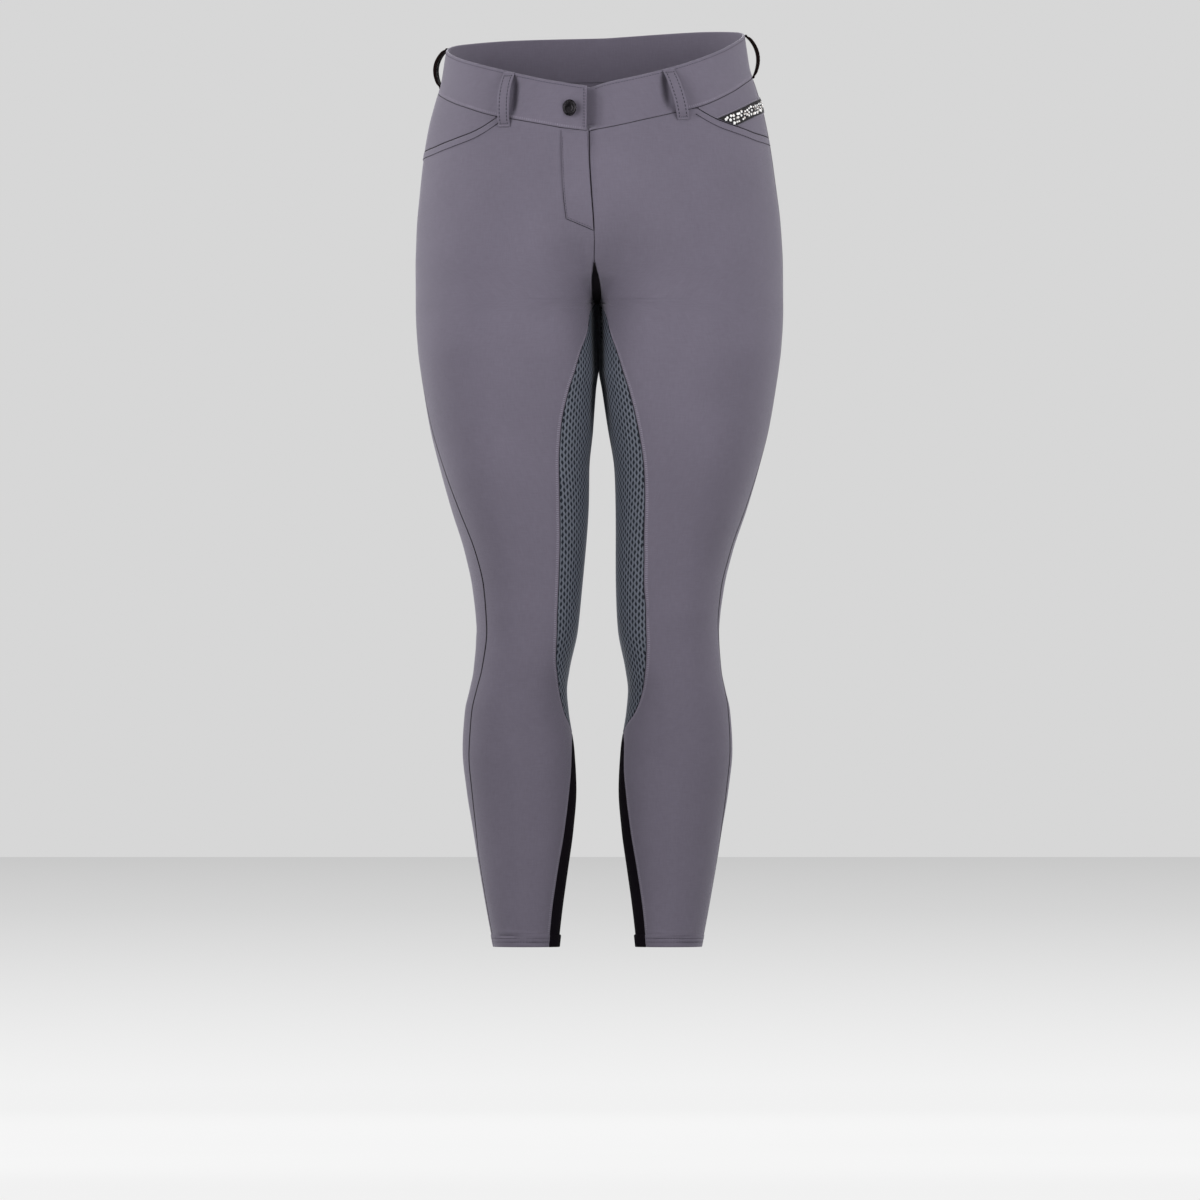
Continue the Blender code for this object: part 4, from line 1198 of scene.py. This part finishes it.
def leg_stitches(leg):
    """Fine cross stitches beside the grip's front seam, and two rows round the hem."""
    rows = []
    z = np.linspace(-232.0, -846.0, 300)
    u = seam(leg, "inner_front", z)
    u = u + 2.6 / reach_round(leg, z, u + 0.005, 0.005)
    thread_row(rows, leg, z, u, 0.0, 1.9, 2.8, math.pi / 2)
    sew("grip_seam_stitches_" + SIDE[leg], rows, "cover_thread", 0.8, 0.10)
    rows = []
    for height in (HEM + 9.0, HEM + 5.2):
        front, side, back = (seam(leg, name, height) for name in ("inner_front", "side", "inner_back"))
        for first, last, count in ((front + 0.006, side - 0.004, 120), (side + 0.004, back - 0.006, 90)):
            thread_row(rows, leg, np.full(count, height), np.linspace(first, last, count), TURNED_EDGE)
    sew("hem_stitches_" + SIDE[leg], rows, "seam_thread", 0.42, 0.2)


def strand_lengths():
    """Height at each step of length down the grip, measured on the seat above the crotch."""
    z = np.linspace(GRIP_TOP_BACK, CROTCH, 400)
    run = steps_along(skin(LEFT, z, np.full(400, 0.85)), 0)
    steps = int((run[-1] + (CROTCH - GRIP_END)) / (STRAND_PERIOD / STRAND_STEPS)) + 1
    length = np.arange(steps) * STRAND_PERIOD / STRAND_STEPS
    height = np.where(length < run[-1], np.interp(length, run, z), CROTCH - (length - run[-1]))
    keep = height > GRIP_END + 0.8
    return length[keep], height[keep]


def grip_net(leg):
    """Raised net of silicone strands that sway towards and away from each other."""
    length, height = strand_lengths()
    numbers = np.arange(*STRAND_NUMBERS)
    section = np.array(STRAND_SECTION) * STRAND_WIDTH
    rise = np.array(STRAND_RISE)[None, :] * STRAND_HEIGHT
    rows_z = []
    rows_u = []
    rows_up = []
    whole = []
    drift = along(STRAND_DRIFT, "drift", height)
    for step, z in enumerate(height):
        low = seam(leg, "inner_back", z)
        high = 1.0 + seam(leg, "inner_front", z)
        at = np.linspace(low - 0.02, high + (0.02 if z < CROTCH else 0.0), STRAND_SAMPLES)
        run = steps_along(skin(leg, z, at, 0.0), 0)
        run = run - np.interp(1.0, at, run)
        first, last = np.interp((low, high), at, run)
        sway = STRAND_SWAY * np.cos(2 * math.pi * length[step] / STRAND_PERIOD + 0.5 * (numbers % 2))
        sway = sway * np.where(numbers % 2 == 0, 1.0, -1.0)
        centre = numbers * STRAND_PITCH - drift[step] + sway + 1.1 * STRAND_PITCH
        spot = centre[:, None] + section[None, :]
        held = np.clip(spot, first + NET_MARGIN, last - NET_MARGIN)
        near = np.minimum(held - first, last - held)
        rows_z.append(np.full(held.shape, z))
        rows_u.append(np.interp(held, run, at))
        rows_up.append(np.where(rise > 0, rise * ease(0.3, 1.6, near), rise))
        whole.append((spot[:, -1] > first + 0.9) & (spot[:, 0] < last - 0.9))
    z, u, up, whole = (np.array(rows) for rows in (rows_z, rows_u, rows_up, whole))
    points = skin(leg, z, u) + facing(leg, z, u) * (up - GRIP_BASE_DROP + creased(leg, z, u))[..., None]
    index = np.arange(z.size).reshape(z.shape)
    there = whole[:-1] & whole[1:]
    quads = [index[:-1, :, :-1], index[:-1, :, 1:], index[1:, :, 1:], index[1:, :, :-1]]
    faces = np.stack([q[there].ravel() for q in quads], axis=1)
    if leg == RIGHT:
        faces = faces[:, ::-1]
    used = np.unique(faces)
    renumber = np.full(index.size, -1)
    renumber[used] = np.arange(len(used))
    place = np.stack([u.ravel() * NET_LENGTH_ROUND, -z.ravel()], axis=-1)[used]
    return add_mesh("grip_net_" + SIDE[leg], points.reshape(-1, 3)[used], renumber[faces].tolist(),
                    "grip_silicone", uv=place)


def grey(value):
    """Neutral colour of one linear value."""
    return (value, value, value, 1.0)


def tone(red, green, blue):
    """Linear colour from its usual 0-255 numbers."""
    shares = [value / 255 for value in (red, green, blue)]
    return tuple(s / 12.92 if s <= 0.04045 else ((s + 0.055) / 1.055) ** 2.4 for s in shares) + (1.0,)


def place_node(tree, kind, links=(), **values):
    """Node with its settings, and links into its named or numbered sockets."""
    node = tree.nodes.new("ShaderNode" + kind)
    for label, value in values.items():
        setattr(node, label, value)
    for socket, source in links:
        if isinstance(source, bpy.types.NodeSocket):
            tree.links.new(source, node.inputs[socket])
        else:
            node.inputs[socket].default_value = source
    return node


def multiplied(tree, first, second):
    """Product of two values."""
    return place_node(tree, "Math", [(0, first), (1, second)], operation="MULTIPLY").outputs[0]


def remapped(tree, source, low, high, to_low, to_high):
    """A value carried from one range to another."""
    spans = [(0, source), (1, low), (2, high), (3, to_low), (4, to_high)]
    return place_node(tree, "MapRange", spans).outputs[0]


def new_group(name, inputs, outputs):
    """Shader node group with its sockets, and its two end nodes."""
    group = bpy.data.node_groups.new(name, "ShaderNodeTree")
    for label, kind, value in inputs:
        socket = group.interface.new_socket(name=label, in_out="INPUT", socket_type="NodeSocket" + kind)
        if value is not None:
            socket.default_value = value
    for label, kind in outputs:
        group.interface.new_socket(name=label, in_out="OUTPUT", socket_type="NodeSocket" + kind)
    enter = group.nodes.new("NodeGroupInput")
    leave = group.nodes.new("NodeGroupOutput")
    return group, enter.outputs, leave.inputs


def woven_group():
    """Fine diagonal weave: relief and shade of threads across a place on the cloth."""
    group, given, result = new_group(
        "fine_weave",
        [("Cloth Place", "Vector", None), ("Threads", "Float", 1800.0), ("Slub", "Float", 0.35)],
        [("Relief", "Float"), ("Shade", "Float")],
    )
    scaled = place_node(group, "VectorMath", [(0, given["Cloth Place"]), ("Scale", given["Threads"])],
                        operation="SCALE").outputs[0]
    twill = place_node(group, "TexWave", [("Vector", scaled), ("Scale", 0.5), ("Distortion", 0.6),
                                          ("Detail", 1.0)], wave_type="BANDS", bands_direction="DIAGONAL")
    rib = place_node(group, "TexWave", [("Vector", scaled), ("Scale", 0.35), ("Distortion", 0.4)],
                     wave_type="BANDS", bands_direction="X")
    slub = place_node(group, "TexNoise", [("Vector", scaled), ("Scale", 0.12), ("Detail", 3.0)])
    slub = slub.outputs["Fac"]
    both = multiplied(group, twill.outputs["Fac"], rib.outputs["Fac"])
    mixed = place_node(group, "Mix", [("Factor", given["Slub"]), (2, both), (3, slub)], data_type="FLOAT")
    group.links.new(mixed.outputs[0], result["Relief"])
    group.links.new(slub, result["Shade"])


def mottle_group():
    """Slow uneven shade over a large piece."""
    group, given, result = new_group(
        "slow_mottle",
        [("Place", "Vector", None), ("Scale", "Float", 18.0),
         ("Low", "Float", 0.94), ("High", "Float", 1.06)],
        [("Shade", "Float")],
    )
    noise = place_node(group, "TexNoise", [("Vector", given["Place"]), ("Scale", given["Scale"]),
                                           ("Detail", 2.0), ("Roughness", 0.5)]).outputs["Fac"]
    group.links.new(remapped(group, noise, 0.3, 0.7, given["Low"], given["High"]), result["Shade"])


def streak_group():
    """Short uneven streaks along and across the cloth, where a yarn is thicker."""
    group, given, result = new_group(
        "slub_streaks",
        [("Cloth Place", "Vector", None), ("Low", "Float", 0.97), ("High", "Float", 1.03)],
        [("Shade", "Float")],
    )
    shades = []
    for stretch in ((90.0, 950.0, 1.0), (950.0, 90.0, 1.0)):
        place = place_node(group, "VectorMath", [(0, given["Cloth Place"]), (1, stretch)],
                           operation="MULTIPLY")
        noise = place_node(group, "TexNoise", [("Vector", place.outputs[0]), ("Scale", 1.0),
                                               ("Detail", 1.0)]).outputs["Fac"]
        shades.append(remapped(group, noise, 0.3, 0.7, given["Low"], given["High"]))
    group.links.new(multiplied(group, *shades), result["Shade"])


def tint_group():
    """Colour multiplied by a shade."""
    group, given, result = new_group(
        "shaded_colour",
        [("Colour", "Color", (0.5, 0.5, 0.5, 1.0)), ("Shade", "Float", 1.0)],
        [("Colour", "Color")],
    )
    shade = place_node(group, "CombineColor", [(k, given["Shade"]) for k in range(3)])
    mixed = place_node(group, "Mix", [(0, 1.0), (6, given["Colour"]), (7, shade.outputs[0])],
                       data_type="RGBA", blend_type="MULTIPLY")
    group.links.new(mixed.outputs[2], result["Colour"])


def use_group(tree, name, links):
    """Node of a shared shader group."""
    return place_node(tree, "Group", links, node_tree=bpy.data.node_groups[name])


def finish_material(name, **shader_values):
    """New material with its shader's own values set."""
    material = bpy.data.materials.new(name)
    material.use_nodes = True
    shader = material.node_tree.nodes["Principled BSDF"]
    for label, value in shader_values.items():
        shader.inputs[label.replace("_", " ")].default_value = value
    return material.node_tree, shader


def object_mottle(tree, scale, uneven):
    """Slow mottling by the place on the object."""
    place = place_node(tree, "TexCoord").outputs["Object"]
    return use_group(tree, "slow_mottle", [("Place", place), ("Scale", scale), ("Low", 1 - uneven),
                                           ("High", 1 + uneven)]).outputs[0]


def shade_colour(tree, shader, colour, shade):
    """Gives a shader its colour, multiplied by a shade."""
    tinted = use_group(tree, "shaded_colour", [("Colour", colour), ("Shade", shade)])
    tree.links.new(tinted.outputs[0], shader.inputs["Base Color"])


def mottled(tree, shader, colour, scale, uneven, roughness=None):
    """Gives a shader a mottled colour, and roughness that follows the mottling."""
    mottle = object_mottle(tree, scale, uneven)
    shade_colour(tree, shader, colour, mottle)
    if roughness:
        rough = remapped(tree, mottle, 1 - uneven, 1 + uneven, *roughness)
        tree.links.new(rough, shader.inputs["Roughness"])


def woven_cloth(name, colour, threads, uneven, bump, roughness, sheen, sheen_tint, shine=0.25, streaks=0.0):
    """Woven cloth with fine threads, slow mottling, slub streaks and a soft sheen."""
    tree, shader = finish_material(name, Roughness=roughness, Sheen_Weight=sheen, Sheen_Roughness=0.45,
                                   Sheen_Tint=sheen_tint + (1.0,), Specular_IOR_Level=shine)
    cloth = place_node(tree, "UVMap", uv_map="cloth").outputs[0]
    weave = use_group(tree, "fine_weave", [("Cloth Place", cloth), ("Threads", threads)]).outputs["Relief"]
    slubs = use_group(tree, "slub_streaks", [("Cloth Place", cloth), ("Low", 1 - streaks),
                                             ("High", 1 + streaks)])
    shade = multiplied(tree, object_mottle(tree, 14.0, uneven), remapped(tree, weave, 0.0, 1.0, 0.90, 1.08))
    shade_colour(tree, shader, colour, multiplied(tree, shade, slubs.outputs[0]))
    relief = place_node(tree, "Bump", [("Strength", bump), ("Distance", 0.0002), ("Height", weave)])
    tree.links.new(relief.outputs[0], shader.inputs["Normal"])


def make_materials():
    """Looks of every cloth, thread, metal and stone."""
    woven_group()
    mottle_group()
    streak_group()
    tint_group()
    woven_cloth("breeches_cloth", tone(112, 106, 121), 1800.0, 0.04, 0.5, 0.78, 0.42, (0.80, 0.78, 0.86),
                streaks=0.035)
    woven_cloth("grip_ground", tone(22, 27, 36), 1500.0, 0.1, 0.6, 0.85, 0.0, (0.6, 0.65, 0.7))
    woven_cloth("calf_elastic", tone(20, 16, 22), 900.0, 0.1, 0.9, 1.0, 0.0, (0.6, 0.6, 0.65), shine=0.03)
    woven_cloth("trim_ribbon", tone(24, 22, 25), 1400.0, 0.1, 0.9, 0.7, 0.1, (0.6, 0.6, 0.65))
    woven_cloth("dark_strap", tone(24, 15, 14), 1200.0, 0.15, 0.2, 0.8, 0.0, (0.7, 0.5, 0.45), shine=0.06)

    tree, shader = finish_material("grip_silicone", Roughness=0.5, Specular_IOR_Level=0.4, Sheen_Weight=0.35,
                                   Sheen_Roughness=0.4, Sheen_Tint=(0.85, 0.90, 1.0, 1.0))
    mottled(tree, shader, tone(97, 102, 114), 260.0, 0.14, (0.42, 0.62))

    # the dark tape colour is the overlocked edges' own colour and also painted shade in the seams, beside
    # the fly and in the fork
    threads = {"seam_thread": (66, 61, 72), "overlock_and_seam_shadow": (30, 26, 31), "cover_thread": (146, 139, 154),
               "dark_thread": (30, 22, 21), "dark_seam_thread": (44, 40, 48)}
    for name, colour in threads.items():
        tree, shader = finish_material(name, Roughness=0.8, Sheen_Weight=0.0, Specular_IOR_Level=0.12)
        mottled(tree, shader, tone(*colour), 900.0, 0.2)

    tree, shader = finish_material("gunmetal", Metallic=1.0, Roughness=0.25)
    mottled(tree, shader, tone(46, 44, 47), 420.0, 0.25, (0.16, 0.34))

    tree, shader = finish_material("cut_stone", Roughness=0.06, Specular_IOR_Level=0.8)
    # painted glints and reflections: each facet's shade runs from near black through pinkish to white
    glint = place_node(tree, "Attribute", attribute_name="stone_painted_glint")
    ramp = place_node(tree, "ValToRGB", [(0, glint.outputs["Fac"])])
    ramp.color_ramp.elements[0].color = (0.06, 0.055, 0.055, 1.0)
    ramp.color_ramp.elements[1].color = grey(1.0)
    ramp.color_ramp.elements[1].position = 0.50
    ramp.color_ramp.elements.new(0.28).color = (0.72, 0.60, 0.54, 1.0)
    tree.links.new(ramp.outputs[0], shader.inputs["Base Color"])


def soft_light(name, place, target, width, height, power):
    """Wide softbox aimed at a point."""
    data = bpy.data.lights.new(name, "AREA")
    data.shape = "RECTANGLE"
    data.size = width
    data.size_y = height
    data.energy = power
    lamp = bpy.data.objects.new(name, data)
    lamp.location = place
    aim = Vector(np.array(target) - np.array(place))
    lamp.rotation_euler = aim.to_track_quat("-Z", "Y").to_euler()
    bpy.context.scene.collection.objects.link(lamp)
    lamp.visible_camera = False


# the studio, in metres; the lens has so many millimetres for each metre of distance
CAMERA_DISTANCE = 36.0
CAMERA_PLACE = (0.0005, -CAMERA_DISTANCE, -0.51)
SENSOR_WIDTH = 36.0
LENS_FOR_A_METRE = 30.0
CLIP_END = 120.0
FLOOR_HEIGHT = -1.06
FLOOR_REACH = CAMERA_DISTANCE * 1.14
SOFTBOXES = (
    ("left_front_softbox", (1.05, -1.25, 0.19), (0.0, 0.0, -0.23), 0.9, 1.3, 15.1),
    ("right_front_softbox", (-1.05, -1.25, 0.19), (0.0, 0.0, -0.23), 0.9, 1.3, 16.2),
    ("left_rim_softbox", (1.5, 0.6, 0.75), (0.0, 0.0, -0.05), 0.5, 0.9, 9.5),
    ("right_rim_softbox", (-1.5, 0.6, 0.40), (0.0, 0.0, -0.2), 0.5, 1.2, 13.0),
    ("back_softbox", (0.0, 2.2, 0.6), (0.0, 0.0, -0.3), 1.6, 1.4, 34.0),
)


def pale_floor():
    """Pale eight-sided floor that glows with painted light, brighter near the middle and shading off with
    distance.
    """
    corner = FLOOR_REACH / math.cos(math.pi / 8)
    turns = [math.pi / 8 + k * math.pi / 4 for k in range(8)]
    ring = [(corner * math.cos(turn), corner * math.sin(turn), FLOOR_HEIGHT) for turn in turns]
    mesh = bpy.data.meshes.new("studio_floor")
    mesh.from_pydata(ring, [], [tuple(range(8))])
    floor = bpy.data.objects.new("studio_floor", mesh)
    bpy.context.scene.collection.objects.link(floor)
    tree, shader = finish_material("pale_floor", Roughness=0.9, Specular_IOR_Level=0.0,
                                   Emission_Strength=1.0, Base_Color=grey(0.05))
    whole = place_node(tree, "TexCoord")
    distance = place_node(tree, "VectorMath", [(0, whole.outputs["Object"])], operation="LENGTH")
    nearness = remapped(tree, distance.outputs["Value"], 1.0, FLOOR_REACH, 0.0, 1.0)
    ramp = place_node(tree, "ValToRGB", [(0, nearness)])
    ramp.color_ramp.elements[0].color = grey(0.86)
    ramp.color_ramp.elements[1].color = grey(0.565)
    for place, value in ((0.1, 0.872), (0.21, 0.828), (0.48, 0.716), (0.67, 0.645)):
        ramp.color_ramp.elements.new(place).color = grey(value)
    tree.links.new(ramp.outputs[0], shader.inputs["Emission Color"])
    mesh.materials.append(bpy.data.materials["pale_floor"])
    floor.visible_diffuse = False


def grey_surround():
    """Plain grey surround to look at, and dim white light from all round."""
    world = bpy.data.worlds.new("studio_surround")
    bpy.context.scene.world = world
    world.use_nodes = True
    tree = world.node_tree
    seen = tree.nodes["Background"]
    seen.inputs["Color"].default_value = grey(0.679)
    seen.inputs["Strength"].default_value = 1.0
    lit = place_node(tree, "Background", [("Color", grey(1.0)), ("Strength", 0.25)])
    path = place_node(tree, "LightPath")
    mixed = place_node(tree, "MixShader", [(0, path.outputs["Is Camera Ray"]), (1, lit.outputs[0]),
                                           (2, seen.outputs[0])])
    tree.links.new(mixed.outputs[0], tree.nodes["World Output"].inputs["Surface"])


def long_lens():
    """Camera far off in front, level with the middle of the garment."""
    data = bpy.data.cameras.new("long_lens")
    data.sensor_width = SENSOR_WIDTH
    data.lens = CAMERA_DISTANCE * LENS_FOR_A_METRE
    data.clip_end = CLIP_END
    camera = bpy.data.objects.new("long_lens", data)
    camera.location = CAMERA_PLACE
    camera.rotation_euler = (math.pi / 2, 0.0, 0.0)
    bpy.context.scene.collection.objects.link(camera)
    bpy.context.scene.camera = camera
    bpy.context.scene.view_settings.view_transform = "Standard"


make_materials()
pale_floor()
grey_surround()
for softbox in SOFTBOXES:
    soft_light(*softbox)
long_lens()

for leg in SIDE:
    front_cloth(leg)
    back_cloth(leg)
    grip_cloth(leg, grip_net(leg))
    calf_insert(leg)
    facing_cloth(leg)
    for kind in LOOPS:
        belt_loop(kind, leg)
    for kind in LOOPS:
        loop_stitches(kind, leg)
    pocket_stitches(leg)
    leg_stitches(leg)

waistband_cloth()
waistband_stitches()

for leg in SIDE:
    leg_tapes(leg)
beside_centre = TAPE_WIDTH / 2 / FRONT_LENGTH
centre_tape("centre_front_tape", -40.0, beside_centre, 0.2)
fork_shadow_strip()
centre_tape("centre_back_tape", 8.0, 1 - beside_centre)
waist_tape()
fly_shadow_strips()

fly_cloth()
fly_stitches()
crystal_trim()
round_button()

for node, (width, length, area) in CUTS.items():
    print("cut", node, width, length, area)
